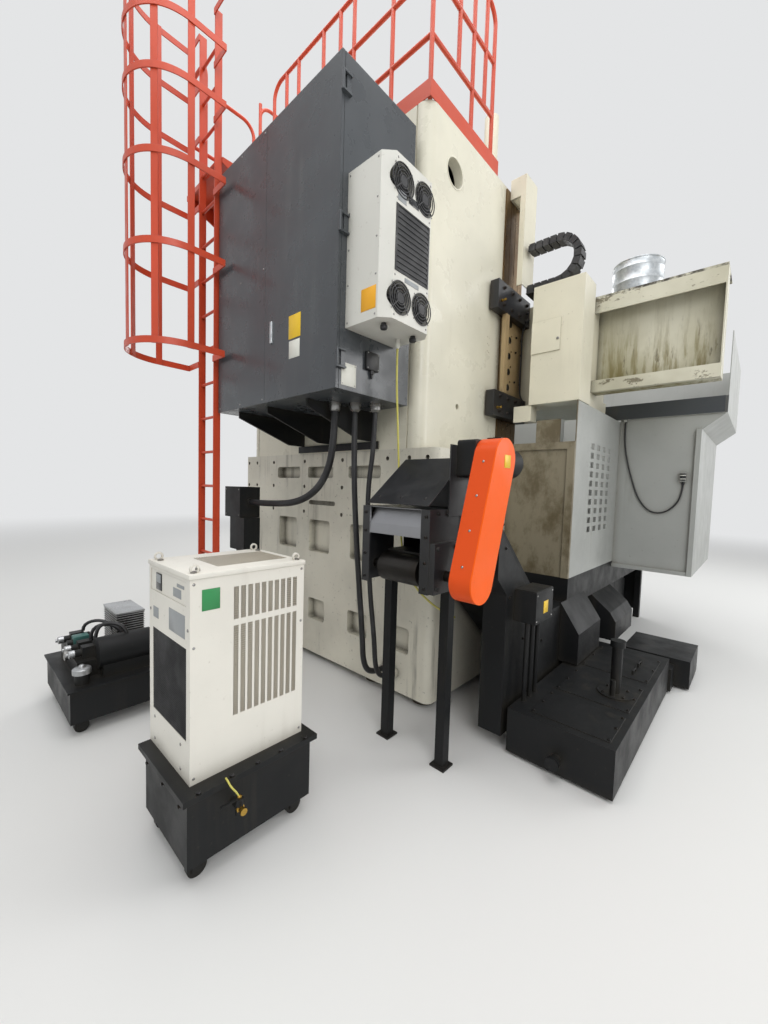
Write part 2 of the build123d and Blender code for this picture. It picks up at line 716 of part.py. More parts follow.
# Brackets that carry the cabinet off the column
gusset_xs = (-700.0, -200.0, 230.0)
gusset_drop = 230.0
with BuildPart() as cabinet_brackets:
    for x in gusset_xs:
        side_profile([(column_rear, cabinet_z[0]), (cabinet_y[1] - 60, cabinet_z[0]),
                      (cabinet_y[1] - 60, cabinet_z[0] - 50),
                      (column_rear + 170, cabinet_z[0] - gusset_drop),
                      (column_rear, cabinet_z[0] - gusset_drop)], (x - plate / 2, x + plate / 2))
        for z in (cabinet_z[0] + 300, cabinet_z[1] - 300):
            block((x - 60, x + 60), (column_rear, cabinet_y[0]), (z - 90, z + 90))
    block((gusset_xs[0] - 60, gusset_xs[-1] + 60), (column_rear, column_rear + plate),
          (cabinet_z[0] - gusset_drop - 60, cabinet_z[0] - gusset_drop))
cabinet_brackets.part.label = "cabinet_brackets"
export_step(cabinet_brackets.part, "parts/cabinet_brackets.step")


def cabinet_leaf(x):
    """A folded front panel of the cabinet, hollow behind its edges."""
    block(x, (cabinet_y[1] + door_gap, hinge_y), cabinet_z)
    block((x[0] + leaf_skin, x[1] - leaf_skin), (cabinet_y[1] + door_gap + leaf_skin, hinge_y - leaf_skin),
          (cabinet_z[0] + leaf_skin, cabinet_z[1] - leaf_skin), Mode.SUBTRACT)


# The hinged door, with its knuckles and the handle's hole
leaf_skin = 4.0
handle_pin = 7.0
with BuildPart() as cabinet_door_wide:
    cabinet_leaf((cabinet_x[0], cabinet_seam - door_gap / 2))
    for z in hinge_zs:
        block((hinge_x, cabinet_x[0]), (hinge_y - 8, hinge_y - 1),
              (z - hinge_length / 2, z + hinge_length / 2))
        rod((hinge_x, hinge_y, z - hinge_length / 2), (hinge_x, hinge_y, z + hinge_length / 2), hinge_radius)
        rod((hinge_x, hinge_y, z - hinge_length / 2), (hinge_x, hinge_y, z + hinge_length / 2),
            hinge_pin + shaft_fit, Mode.SUBTRACT)
    rod((handle_x, cabinet_y[1] + door_gap, handle_z), (handle_x, hinge_y, handle_z),
        handle_pin + shaft_fit, Mode.SUBTRACT)
cabinet_door_wide.part.label = "cabinet_door_wide"
export_step(cabinet_door_wide.part, "parts/cabinet_door_wide.step")

# The narrower panel beside it, screwed on through spacers
with BuildPart() as cabinet_panel:
    cabinet_leaf((cabinet_seam + door_gap / 2, cabinet_x[1]))
    for x in (cabinet_seam + 18, cabinet_x[1] - 6):
        for z in hinge_zs:
            rod((x, cabinet_y[1], z), (x, cabinet_y[1] + door_gap, z), 5)
cabinet_panel.part.label = "cabinet_panel"
export_step(cabinet_panel.part, "parts/cabinet_panel.step")

# Lever handle with its spindle and latch tongue
latch_y = (cabinet_y[1] - mullion_half - 12, cabinet_y[1] - mullion_half - 2)
with BuildPart() as cabinet_handle:
    block((handle_x - handle_width / 2, handle_x + handle_width / 2), (hinge_y + slide_gap, hinge_y + 14),
          (handle_z - handle_length / 2, handle_z + handle_length / 2))
    fillet(cabinet_handle.edges().filter_by(Axis.Z).sort_by(Axis.Y)[-2:], 5)
    rod((handle_x, latch_y[0], handle_z), (handle_x, hinge_y + 1, handle_z), handle_pin)
    block((handle_x - 12, handle_x + 12), latch_y, (handle_z - 80, handle_z + 12))
cabinet_handle.part.label = "cabinet_handle"
export_step(cabinet_handle.part, "parts/cabinet_handle.step")

# Cooling unit housing with four fan wells and the filter recess
ac_x = (cabinet_x[0] - ac_depth, cabinet_x[0])
ac_mid = (ac_y[0] + ac_y[1]) / 2
fan_ys = (ac_mid + ac_fan_spread / 2, ac_mid - ac_fan_spread / 2)
fan_zs = (ac_z[1] - ac_fan_margin, ac_z[0] + ac_fan_margin)
fan_centres = [(y, z) for z in fan_zs for y in fan_ys]
fan_back = ac_x[0] + ac_fan_depth + 10
filter_y = (ac_y[0] + 70, ac_y[1] - 70)
filter_z = (ac_z[0] + filter_margin, ac_z[1] - filter_margin)
with BuildPart() as ac_housing:
    block(ac_x, ac_y, ac_z)
    chamfer(ac_housing.edges().filter_by(Axis.Z).sort_by(Axis.X)[:2], ac_chamfer)
    for y, z in fan_centres:
        rod((ac_x[0] - 1, y, z), (fan_back, y, z), ac_fan_radius + 4, Mode.SUBTRACT)
        rod((ac_x[0] + 12, y, z), (fan_back, y, z), fan_pin)
    block((ac_x[0] - 1, ac_x[0] + 14), filter_y, filter_z, Mode.SUBTRACT)
    hollow((fan_back, ac_x[1]), ac_y, ac_z, sheet)
    drain = drain_hose_route[0]
    rod(drain, (drain[0], drain[1], ac_z[0]), hose_boss)
    with BuildSketch(Plane.YZ.offset((ac_x[0] + ac_x[1]) / 2)):
        with Locations((ac_mid, ac_z[1] + 22)):
            Circle(28)
            Circle(17, mode=Mode.SUBTRACT)
    extrude(amount=10)
ac_housing.part.label = "ac_housing"
export_step(ac_housing.part, "parts/ac_housing.step")

# Black grilles of the cooling unit: four fan guards and the slatted filter
with BuildPart() as ac_grilles:
    with BuildSketch(Plane.YZ.offset(ac_x[0] - 5)):
        for y, z in fan_centres:
            with Locations((y, z)):
                for radius in (ac_fan_radius + 8, ac_fan_radius - 10, ac_fan_radius - 28,
                               ac_fan_radius - 46):
                    Circle(radius)
                    Circle(radius - 5, mode=Mode.SUBTRACT)
                Circle(fan_hub)
                with PolarLocations((fan_hub + ac_fan_radius) / 2, 4, start_angle=45):
                    Rectangle(ac_fan_radius - fan_hub + 10, 6)
    extrude(amount=5)
    block((ac_x[0] - 3, ac_x[0] + 14), filter_y, filter_z)
    for number in range(12):
        z = filter_z[0] + (number + 0.5) * (filter_z[1] - filter_z[0]) / 12
        block((ac_x[0] - 3, ac_x[0] + 1), (filter_y[0] + 14, filter_y[1] - 14), (z - 7, z + 7),
              Mode.SUBTRACT)
ac_grilles.part.label = "ac_grilles"
export_step(ac_grilles.part, "parts/ac_grilles.step")

# The four fan rotors, each on its own pin
for number, (y, z) in enumerate(fan_centres, 1):
    with BuildPart() as ac_fan:
        ring((ac_x[0] + 14, y, z), (fan_back - slide_gap, y, z), fan_hub, fan_pin + shaft_fit)
        for blade in range(fan_blades):
            angle = 360 * blade / fan_blades
            reach = (fan_hub + ac_fan_radius) / 2 - 2
            place_y = y + reach * cos(radians(angle))
            place_z = z + reach * sin(radians(angle))
            with Locations(Location((ac_x[0] + 38, place_y, place_z), (angle, 0, 0))):
                Box(3, ac_fan_radius - fan_hub + 3, 46, rotation=(0, 35, 0))
    ac_fan.part.label = f"ac_fan_{number}"
    export_step(ac_fan.part, f"parts/ac_fan_{number}.step")

# Enclosure sides and rear: louvred walls, rear panels and the flared wings
louvre_step_y = (louvre_y[1] - louvre_y[0]) / louvre_columns
louvre_step_z = (louvre_z[1] - louvre_z[0]) / louvre_rows
with BuildPart() as enclosure_sides:
    for side in (-1, 1):
        block((side * wall_x, side * (wall_x - sheet)), (wall_front - sheet, wall_rear),
              (wall_base, wall_top))
        with BuildSketch(Plane.YZ.offset(side * wall_x - (sheet + 1 if side > 0 else 1))):
            for column in range(louvre_columns):
                for row in range(louvre_rows):
                    with Locations((louvre_y[0] + (column + 0.5) * louvre_step_y,
                                    louvre_z[0] + (row + 0.5) * louvre_step_z)):
                        Rectangle(0.5 * louvre_step_y, 0.62 * louvre_step_z)
        extrude(amount=sheet + 2, mode=Mode.SUBTRACT)
        block((side * base_half, side * wall_x), (wall_rear - sheet, wall_rear), (wall_base, rear_panel_top))
        block((side * column_half, side * base_half), (wall_rear - sheet, wall_rear),
              (base_top, rear_panel_top))
        block((side * (wall_x - 60), side * wall_x), (wall_rear, wall_rear + 14),
              (wall_base, rear_panel_top))
        block((side * (wall_x - 330), side * (wall_x - 130)), (wall_rear - 90, wall_rear),
              (rear_panel_top, rear_panel_top + 190))
        block((side * (column_half + way_thick + 30), side * (wall_x - 60)), (wall_rear, wall_rear + 14),
              (rear_panel_top - 60, rear_panel_top))
        outline = [(wall_x, wing_base), (wing_x, wing_base), (wing_x, wing_flare_z[0]),
                   (wing_flare_x, wing_flare_z[1]), (wing_flare_x, hood_top),
                   (wing_flare_x - sheet, hood_top),
                   (wing_flare_x - sheet, wing_flare_z[1] + sheet),
                   (wing_x - sheet, wing_flare_z[0] + sheet),
                   (wing_x - sheet, wing_base + sheet), (wall_x, wing_base + sheet)]
        front_profile([(side * x, z) for x, z in outline], (front_y + sheet, wall_front))
        rear_face = [(wall_x, wing_base), (wing_x, wing_base), (wing_x, wing_flare_z[0]),
                     (wing_flare_x, wing_flare_z[1]), (wing_flare_x, fascia_top), (fascia_inner, fascia_top),
                     (fascia_inner, wing_flare_z[1]), (wall_x, wing_flare_z[1])]
        front_profile([(side * x, z) for x, z in rear_face], (wall_front - sheet, wall_front))
        block((side * fascia_inner, side * (wing_flare_x - 20)), (wall_front, wall_front + 16),
              (wing_flare_z[1], fascia_top))
        block((side * (wing_x - 40), side * wing_x), (wall_front, wall_front + 30),
              (wing_base, wing_flare_z[0]))
        block((side * wall_x, side * wing_x), (wall_front, wall_front + 24), (wing_base, wing_base + 36))
    cable_top = wing_cable_route[0]
    cable_end = wing_cable_route[-1]
    block((cable_top[0] - 15, cable_top[0] + 15), (wall_front, wall_front + 26),
          (cable_top[2], wing_flare_z[1]))
    block((cable_end[0] - 25, cable_end[0] + 25), (wall_front, wall_front + 36),
          (cable_end[2], cable_end[2] + 90))
enclosure_sides.part.label = "enclosure_sides"
export_step(enclosure_sides.part, "parts/enclosure_sides.step")

# Enclosure front with the doorway, the door tracks, the hood's front and the pendant bracket
track_y = (front_y - door_clear - door_depth - 6, front_y)
pivot_y = front_y - 60.0
with BuildPart() as enclosure_front:
    outline = [(-wing_x, wing_base), (-wall_x, wing_base), (-wall_x, wall_base), (wall_x, wall_base),
               (wall_x, wing_base), (wing_x, wing_base), (wing_x, wing_flare_z[0]),
               (wing_flare_x, wing_flare_z[1]), (wing_flare_x, hood_top), (-wing_flare_x, hood_top),
               (-wing_flare_x, wing_flare_z[1]), (-wing_x, wing_flare_z[0])]
    front_profile(outline, (front_y, front_y + sheet))
    block((-opening_half, opening_half), (front_y - 1, front_y + sheet + 1), opening_z, Mode.SUBTRACT)
    for side in (-1, 1):
        block((side * opening_half, side * (opening_half + 40)), (front_y + sheet, front_y + 60), opening_z)
    block((-track_x, track_x), track_y, (door_z[0] - slide_gap - 24, door_z[0] - slide_gap))
    block((-track_x, track_x), track_y, (door_z[1] + slide_gap, door_z[1] + slide_gap + 30))
    bracket_z = (pendant_pivot_z - pendant_bracket / 2, pendant_pivot_z + pendant_bracket / 2)
    block((pendant_x - 60, pendant_x + 60), (pivot_y - 45, front_y), bracket_z)
    rod((pendant_x, pivot_y, bracket_z[0]), (pendant_x, pivot_y, bracket_z[1]), pivot_radius + shaft_fit,
        Mode.SUBTRACT)
enclosure_front.part.label = "enclosure_front"
export_step(enclosure_front.part, "parts/enclosure_front.step")

# Sliding doors, mirror images of each other, each with a window and a pull handle
door_y = (front_y - door_clear - door_depth, front_y - door_clear)
glass_y = (door_y[0] + 8, door_y[0] + 8 + glass_thick)
for side, hand in ((-1, "left"), (1, "right")):
    with BuildPart() as front_door:
        block((side * door_gap / 2, side * door_width), door_y, door_z)
        block((side * (door_gap / 2 + sheet), side * (door_width - sheet)), (door_y[0] + sheet, door_y[1]),
              (door_z[0] + sheet, door_z[1] - sheet), Mode.SUBTRACT)
        block((side * (window_x[0] - 50), side * (window_x[1] + 50)), door_y,
              (window_z[0] - 50, window_z[1] + 50))
        block((side * window_x[0], side * window_x[1]), (door_y[0] - 1, door_y[1] + 1), window_z,
              Mode.SUBTRACT)
        block((side * (window_x[0] - 20), side * (window_x[1] + 20)), glass_y,
              (window_z[0] - 20, window_z[1] + 20), Mode.SUBTRACT)
        for z in (1480, 1980):
            rod((side * 130, door_y[0], z), (side * 130, door_y[0] - 60, z), 11)
        rod((side * 130, door_y[0] - 60, 1440), (side * 130, door_y[0] - 60, 2020), 16)
    front_door.part.label = f"door_{hand}"
    export_step(front_door.part, f"parts/door_{hand}.step")
    with BuildPart() as glass:
        block((side * (window_x[0] - 20), side * (window_x[1] + 20)), glass_y,
              (window_z[0] - 20, window_z[1] + 20))
    glass.part.label = f"glass_{hand}"
    export_step(glass.part, f"parts/glass_{hand}.step")

# Chip pan under the enclosure, with its skirt, legs and the sloped covers on its left side
chute_y = (conveyor_front + 80, wall_rear - 260)
auger_x = wall_x + 148.0
auger_z = (tank_top + 10, 550.0, 775.0)
with BuildPart() as chip_pan:
    block((-wall_x, wall_x), (front_y, wall_rear), (pan_bottom, wall_base))
    block((sheet - wall_x, wall_x - sheet), (front_y + sheet, wall_rear - sheet),
          (pan_bottom + sheet, wall_base), Mode.SUBTRACT)
    block((-bed_half, bed_half), (bed_front, guide_front + 1), (pan_bottom - 1, wall_base + 1),
          Mode.SUBTRACT)
    block((-column_half, column_half), (guide_front, column_front + 1), (pan_bottom - 1, wall_base + 1),
          Mode.SUBTRACT)
    block((-base_half, base_half), (column_front, wall_rear + 1), (pan_bottom - 1, wall_base + 1),
          Mode.SUBTRACT)
    block(chute_x, chute_y, (pan_bottom - 1, pan_bottom + sheet + 1), Mode.SUBTRACT)
    for side in (-1, 1):
        block((side * (wall_x - 70), side * wall_x), (front_y, front_y + 70), (0, pan_bottom))
        block((side * (wall_x - 50), side * wall_x), (wall_rear - 130, wall_rear - 60), (0, pan_bottom))
    block((70 - wall_x, wall_x - 70), (front_y, front_y + sheet), (100, pan_bottom))
    front_profile([(-wall_x, auger_z[0]), (-wall_x, auger_z[2]), (-auger_x, auger_z[1]),
                   (-auger_x, auger_z[0])],
                  (1056, 1636))
    front_profile([(50 - wall_x, auger_z[0]), (50 - wall_x, pan_bottom), (-wall_x, pan_bottom),
                   (-auger_x - 20, 560), (-auger_x - 70, 480), (-auger_x - 70, auger_z[0])], (180, 820))
chip_pan.part.label = "chip_pan"
export_step(chip_pan.part, "parts/chip_pan.step")

# Coolant tank with its step, lid plates, hand grips, drain and the upright pump
far_tank_y = (176.0, 729.0)
with BuildPart() as coolant_tank:
    block(tank_x, tank_y, (tank_clear, tank_top))
    block((tank_x[0] - 128, tank_x[1] - 230), far_tank_y, (tank_clear, tank_top - 40))
    block((tank_x[0] - 20, tank_x[1] - 200), (far_tank_y[1], tank_y[0]), (tank_clear, tank_top - 90))
    hollow(tank_x, tank_y, (tank_clear, tank_top), sheet)
    hollow((tank_x[0] - 128, tank_x[1] - 230), far_tank_y, (tank_clear, tank_top - 40), sheet)
    for low, high in ((1020, 1560), (1700, 2120), (2200, 2540)):
        block((tank_x[0] + 40, tank_x[1] - 120), (low, high), (tank_top, tank_top + 5))
    for y in (1250, 1430):
        rod((tank_x[0] + 150, y - 45, tank_top + 28), (tank_x[0] + 150, y + 45, tank_top + 28), 6)
        for end in (-45, 45):
            block((tank_x[0] + 143, tank_x[0] + 157), (y + end - 7, y + end + 7), (tank_top, tank_top + 36))
    for y in (tank_y[0] + 120, tank_y[1] - 120):
        for x in (tank_x[0] + 90, tank_x[1] - 90):
            rod((x, y, 0), (x, y, tank_clear), 35)
    rod((tank_x[0] + 300, tank_y[1], 110), (tank_x[0] + 300, tank_y[1] + 55, 110), 30)
    rod((tank_x[0] + 300, tank_y[1] + 55, 110), (tank_x[0] + 300, tank_y[1] + 75, 110), 38)
    rod((pump_x, pump_y, tank_top), (pump_x, pump_y, tank_top + 16), 110)
    rod((pump_x, pump_y, tank_top), (pump_x, pump_y, tank_top + 330), 33)
    rod((pump_x, pump_y, tank_top + 330), (pump_x, pump_y, tank_top + 372), 46)
    rod((pump_x, pump_y + 70, tank_top + 16), (pump_x, pump_y + 70, tank_top + 120), 16)
coolant_tank.part.label = "coolant_tank"
export_step(coolant_tank.part, "parts/coolant_tank.step")

bend_shift = casing_wall * ((1 + incline_slope ** 2) ** 0.5 - 1) / incline_slope
low_exit = incline_low[0] + (head_z[0] - incline_low[1]) / incline_slope
high_exit = incline_high[0] + (head_z[1] - incline_high[1]) / incline_slope
low_bend = incline_low[0] + (conveyor_low_z[0] - incline_low[1]) / incline_slope
high_bend = incline_high[0] + (conveyor_low_z[1] - incline_high[1]) / incline_slope
inner_x = (conveyor_x[0] + casing_wall, conveyor_x[1] - casing_wall)
belt_runs = (20.0, head_shaft_z + drum_roller_radius + 1 - head_z[0])


def conveyor_outline(inset):
    """The casing's profile in Y and Z, moved inwards by a wall."""
    shift = bend_shift * inset / casing_wall
    end = head_y[0] + (1 if inset else 0)
    return [(conveyor_front + inset, conveyor_low_z[0] + inset),
            (low_bend - shift, conveyor_low_z[0] + inset),
            (low_exit - shift, head_z[0] + inset), (end, head_z[0] + inset), (end, head_z[1] - inset),
            (high_exit + shift, head_z[1] - inset), (high_bend + shift, conveyor_low_z[1] - inset),
            (conveyor_front + inset, conveyor_low_z[1] - inset)]


# Conveyor casing: trough, incline, hopper walls under the pan, side box, and the belt inside
with BuildPart() as conveyor_casing:
    side_profile(conveyor_outline(0), conveyor_x)
    side_profile(conveyor_outline(casing_wall), inner_x, Mode.SUBTRACT)
    block(chute_x, chute_y, (conveyor_low_z[1] - casing_wall - 1, conveyor_low_z[1] + 1), Mode.SUBTRACT)
    for x in ((conveyor_x[0], chute_x[0]), (chute_x[1], conveyor_x[1])):
        block(x, (chute_y[0] - plate, chute_y[1] + plate), (conveyor_low_z[1], pan_bottom))
    for y in ((chute_y[0] - plate, chute_y[0]), (chute_y[1], chute_y[1] + plate)):
        block(chute_x, y, (conveyor_low_z[1], pan_bottom))
    for rise, reach in zip(belt_runs, (head_y[0] + 30, head_shaft_y)):
        side_profile([(conveyor_front + belt_end, conveyor_low_z[0] + rise),
                      (low_bend, conveyor_low_z[0] + rise), (low_exit, head_z[0] + rise),
                      (reach, head_z[0] + rise), (reach, head_z[0] + rise + belt_thick),
                      (low_exit, head_z[0] + rise + belt_thick),
                      (low_bend, conveyor_low_z[0] + rise + belt_thick),
                      (conveyor_front + belt_end, conveyor_low_z[0] + rise + belt_thick)], inner_x)
    rod((inner_x[0], conveyor_front + belt_end, conveyor_low_z[0] + sum(belt_runs) / 2 + belt_thick / 2),
        (inner_x[1], conveyor_front + belt_end, conveyor_low_z[0] + sum(belt_runs) / 2 + belt_thick / 2),
        (belt_runs[1] - belt_runs[0] + belt_thick) / 2)
    side_profile([(side_box_front, 90), (side_box_rear, 90), (side_box_rear, side_box_top),
                  (side_box_rear + 130, side_box_top + 120), (side_box_rear + 130, side_box_top + 430),
                  (side_box_rear - 550, 755), (wall_rear + 20, 755), (wall_rear + 20, pan_bottom - 10),
                  (side_box_front, pan_bottom - 10)], side_box_x)
    hollow(side_box_x, (side_box_front, side_box_rear), (90, pan_bottom - 10), sheet)
    for y in conveyor_leg_ys:
        block((conveyor_x[0] + 20, conveyor_x[1] - 20), (y - 30, y + 30), (0, conveyor_low_z[0]))
    for x in (head_x[0] + 2, head_x[1] - 2 - head_post):
        block((x, x + head_post), (head_y[0] + 5, head_y[0] + 5 + head_post), (0, head_z[0]))
        block((x - 20, x + head_post + 20), (head_y[0] - 15, head_y[0] + 25 + head_post), (0, 12))
conveyor_casing.part.label = "conveyor_casing"
export_step(conveyor_casing.part, "parts/conveyor_casing.step")

# Discharge head: side plates with the shaft bearings, mouth flanges, deflector and bent hood
bearing_x = (head_x[0] - 36, head_x[0])
bracket_x = (head_x[0] - 11, head_x[0] - 3)
hood_rear = hood_crest[0] - 110
with BuildPart() as conveyor_hood:
    for x in ((head_x[0], head_x[0] + 12), (head_x[1] - 12, head_x[1])):
        block(x, head_y, head_z)
    for x in ((head_x[0] + 12, head_x[0] + head_post), (head_x[1] - head_post, head_x[1] - 12)):
        block(x, (head_y[1] - 12, head_y[1]), head_z)
    block((head_x[0] + 12, head_x[1] - 12), (head_y[0], head_y[1] - 12), (head_z[1] - sheet, head_z[1]))
    side_profile([(head_y[1] - 46, head_z[1] - sheet), (head_y[1] - 5, head_z[1] - 100),
                  (head_y[1] - 1, head_z[1] - 160), (head_y[1] - 7, head_z[1] - 160),
                  (head_y[1] - 11, head_z[1] - 102), (head_y[1] - 52, head_z[1] - sheet)],
                 (head_x[0] + head_post, head_x[1] - head_post))
    side_profile([hood_low, hood_crest, (hood_rear, hood_crest[1]), (hood_rear, head_z[1]),
                  (hood_rear + sheet, head_z[1]), (hood_rear + sheet, hood_crest[1] - sheet),
                  (hood_crest[0] - 2, hood_crest[1] - sheet), (hood_low[0] - 4, hood_low[1] - 5)],
                 (bracket_x[1], hood_right))
    block(bracket_x, (hood_rear, hood_rear + 270), (head_z[1] - 40, head_z[1] + 360))
    block((bracket_x[1], head_x[0] + 12), (head_y[0], hood_rear + 270), (head_z[1] - 40, head_z[1]))
    block(bearing_x, (head_shaft_y - 120, head_shaft_y + 115), (head_z[0] + 5, head_z[0] + 280))
    rod((bearing_x[0] - 1, head_shaft_y, head_shaft_z), (head_x[1] + 1, head_shaft_y, head_shaft_z),
        head_shaft_radius + shaft_fit, Mode.SUBTRACT)
    for y, z in ((head_shaft_y - 90, head_z[0] + 35), (head_shaft_y + 85, head_z[0] + 35),
                 (head_shaft_y - 90, head_z[0] + 250), (head_shaft_y + 85, head_z[0] + 250)):
        rod((bearing_x[0] - 12, y, z), (bearing_x[0], y, z), 13)
conveyor_hood.part.label = "conveyor_hood"
export_step(conveyor_hood.part, "parts/conveyor_hood.step")

# Guard over the chain drive: a long rounded cover with a back plate
guard_centres = [(guard_top_y, guard_top_z), (head_shaft_y, head_shaft_z)]
guard_tilt = Vector(head_shaft_y - guard_top_y, head_shaft_z - guard_top_z)
guard_middle = ((guard_top_y + head_shaft_y) / 2, (guard_top_z + head_shaft_z) / 2)
guard_angle = degrees(atan2(guard_tilt.Y, guard_tilt.X))


def guard_slot(x, radius, depth, mode=Mode.ADD):
    """A long rounded prism over the two sprockets, from a place along X inwards."""
    with BuildSketch(Plane.YZ.offset(x)) as outline:
        with Locations(Location((guard_middle[0], guard_middle[1], 0), (0, 0, guard_angle))):
            SlotCenterToCenter(guard_tilt.length, 2 * radius)
    extrude(outline.sketch, amount=depth, dir=(1, 0, 0), mode=mode)


with BuildPart() as chain_guard:
    guard_slot(guard_x[0], guard_radius, guard_x[1] - guard_x[0])
    guard_slot(guard_x[0] + sheet, guard_radius - sheet, guard_x[1] - guard_x[0] - 2 * sheet, Mode.SUBTRACT)
    for y, z in guard_centres:
        rod((guard_x[1] - sheet - 1, y, z), (guard_x[1] + 1, y, z), shaft_hole_radius, Mode.SUBTRACT)
chain_guard.part.label = "chain_guard"
export_step(chain_guard.part, "parts/chain_guard.step")


def chain_line(margin):
    """The outline round both sprockets, a margin outside them."""
    with BuildSketch() as line:
        with Locations((guard_top_y, guard_top_z)):
            Circle(small_sprocket_radius + margin)
        with Locations((head_shaft_y, head_shaft_z)):
            Circle(sprocket_radius + slide_gap + margin)
        make_hull()
    return line.sketch


# Gear motor of the conveyor, with its sprocket and the chain
gearbox_x = (guard_x[1], bracket_x[0])
motor_x = sum(gearbox_x) / 2
with BuildPart() as conveyor_gearmotor:
    block(gearbox_x, (guard_top_y - 100, guard_top_y + 100), (guard_top_z - 103, guard_top_z + 107))
    fillet(conveyor_gearmotor.edges().filter_by(Axis.X), 20)
    rod((motor_x, guard_top_y - 100, guard_top_z), (motor_x, guard_top_y - 130, guard_top_z), motor_neck)
    rod((motor_x, guard_top_y - 130, guard_top_z), (motor_x, guard_top_y - 430, guard_top_z), motor_radius)
    block((motor_x - 45, motor_x + 45), (guard_top_y - 330, guard_top_y - 210),
          (guard_top_z + motor_radius - 6, guard_top_z + motor_radius + 55))
    rod((guard_x[1], guard_top_y, guard_top_z), (sprocket_x[0], guard_top_y, guard_top_z), 20)
    rod((sprocket_x[0], guard_top_y, guard_top_z), (sprocket_x[1], guard_top_y, guard_top_z),
        small_sprocket_radius)
    with BuildSketch(Plane.YZ.offset(sprocket_x[0] + 5)) as chain_loop:
        add(chain_line(chain_band))
        add(chain_line(0), mode=Mode.SUBTRACT)
    extrude(chain_loop.sketch, amount=10, dir=(1, 0, 0))
conveyor_gearmotor.part.label = "conveyor_gearmotor"
export_step(conveyor_gearmotor.part, "parts/conveyor_gearmotor.step")

# Head shaft with the belt drum and the driven sprocket
with BuildPart() as conveyor_shaft:
    rod((guard_x[0] + 20, head_shaft_y, head_shaft_z), (head_x[1] + 10, head_shaft_y, head_shaft_z),
        head_shaft_radius)
    rod((head_x[0] + 110, head_shaft_y, head_shaft_z), (head_x[1] - 100, head_shaft_y, head_shaft_z),
        drum_roller_radius)
    rod((sprocket_x[0], head_shaft_y, head_shaft_z), (sprocket_x[1], head_shaft_y, head_shaft_z),
        sprocket_radius)
conveyor_shaft.part.label = "conveyor_shaft"
export_step(conveyor_shaft.part, "parts/conveyor_shaft.step")

# Junction boxes: one on the conveyor with its conduits, two on a stand beside the ladder
control_y = (2218.0, 2491.0)
control_z = (820.0, 1021.0)
control_depth = 145.0
stand_x = (420.0, 700.0)
stand_y = (2950.0, 3150.0)
stand_z = (1340.0, 1620.0)
with BuildPart() as junction_boxes:
    block((side_box_x[0] - control_depth, side_box_x[0]), control_y, control_z)
    block((side_box_x[0] - control_depth + 4, side_box_x[0] - 4),
          (control_y[0] + 4, control_y[1] - 4), (control_z[1], control_z[1] + 6))
    for y in (control_y[0] + 50, sum(control_y) / 2, control_y[1] - 50):
        rod((side_box_x[0] - control_depth / 2, y, tank_top),
            (side_box_x[0] - control_depth / 2, y, control_z[0]), 14)
    block(stand_x, stand_y, stand_z)
    block((stand_x[0] - 40, stand_x[1] - 60), (stand_y[0] + 20, stand_y[1] - 20),
          (stand_z[0] - 300, stand_z[0]))
    for x in (stand_x[0], stand_x[1] - 120):
        block((x, x + 50), (stand_y[0] + 70, stand_y[0] + 120), (0, stand_z[0] - 300))
    hollow((side_box_x[0] - control_depth, side_box_x[0]), control_y, control_z, sheet)
    hollow(stand_x, stand_y, stand_z, sheet)
    hollow((stand_x[0] - 40, stand_x[1] - 60), (stand_y[0] + 20, stand_y[1] - 20),
           (stand_z[0] - 300, stand_z[0]),
           sheet)
    block((stand_x[0] - 60, stand_x[1]), (stand_y[0], stand_y[1]), (0, 12))
    ring((stand_x[0] - 30, conduit_1_route[-1][1], conduit_1_route[-1][2]),
         (stand_x[0], conduit_1_route[-1][1], conduit_1_route[-1][2]), conduit_gland, 20)
junction_boxes.part.label = "junction_boxes"
export_step(junction_boxes.part, "parts/junction_boxes.step")

# Free cords: three conduits from the cabinet, the drain hose and the cable on the left wing
for name, route, radius in cords:
    with BuildPart() as cord:
        bent_tube(route, radius, cord_bends(name, route))
    cord.part.label = name
    export_step(cord.part, f"parts/{name}.step")

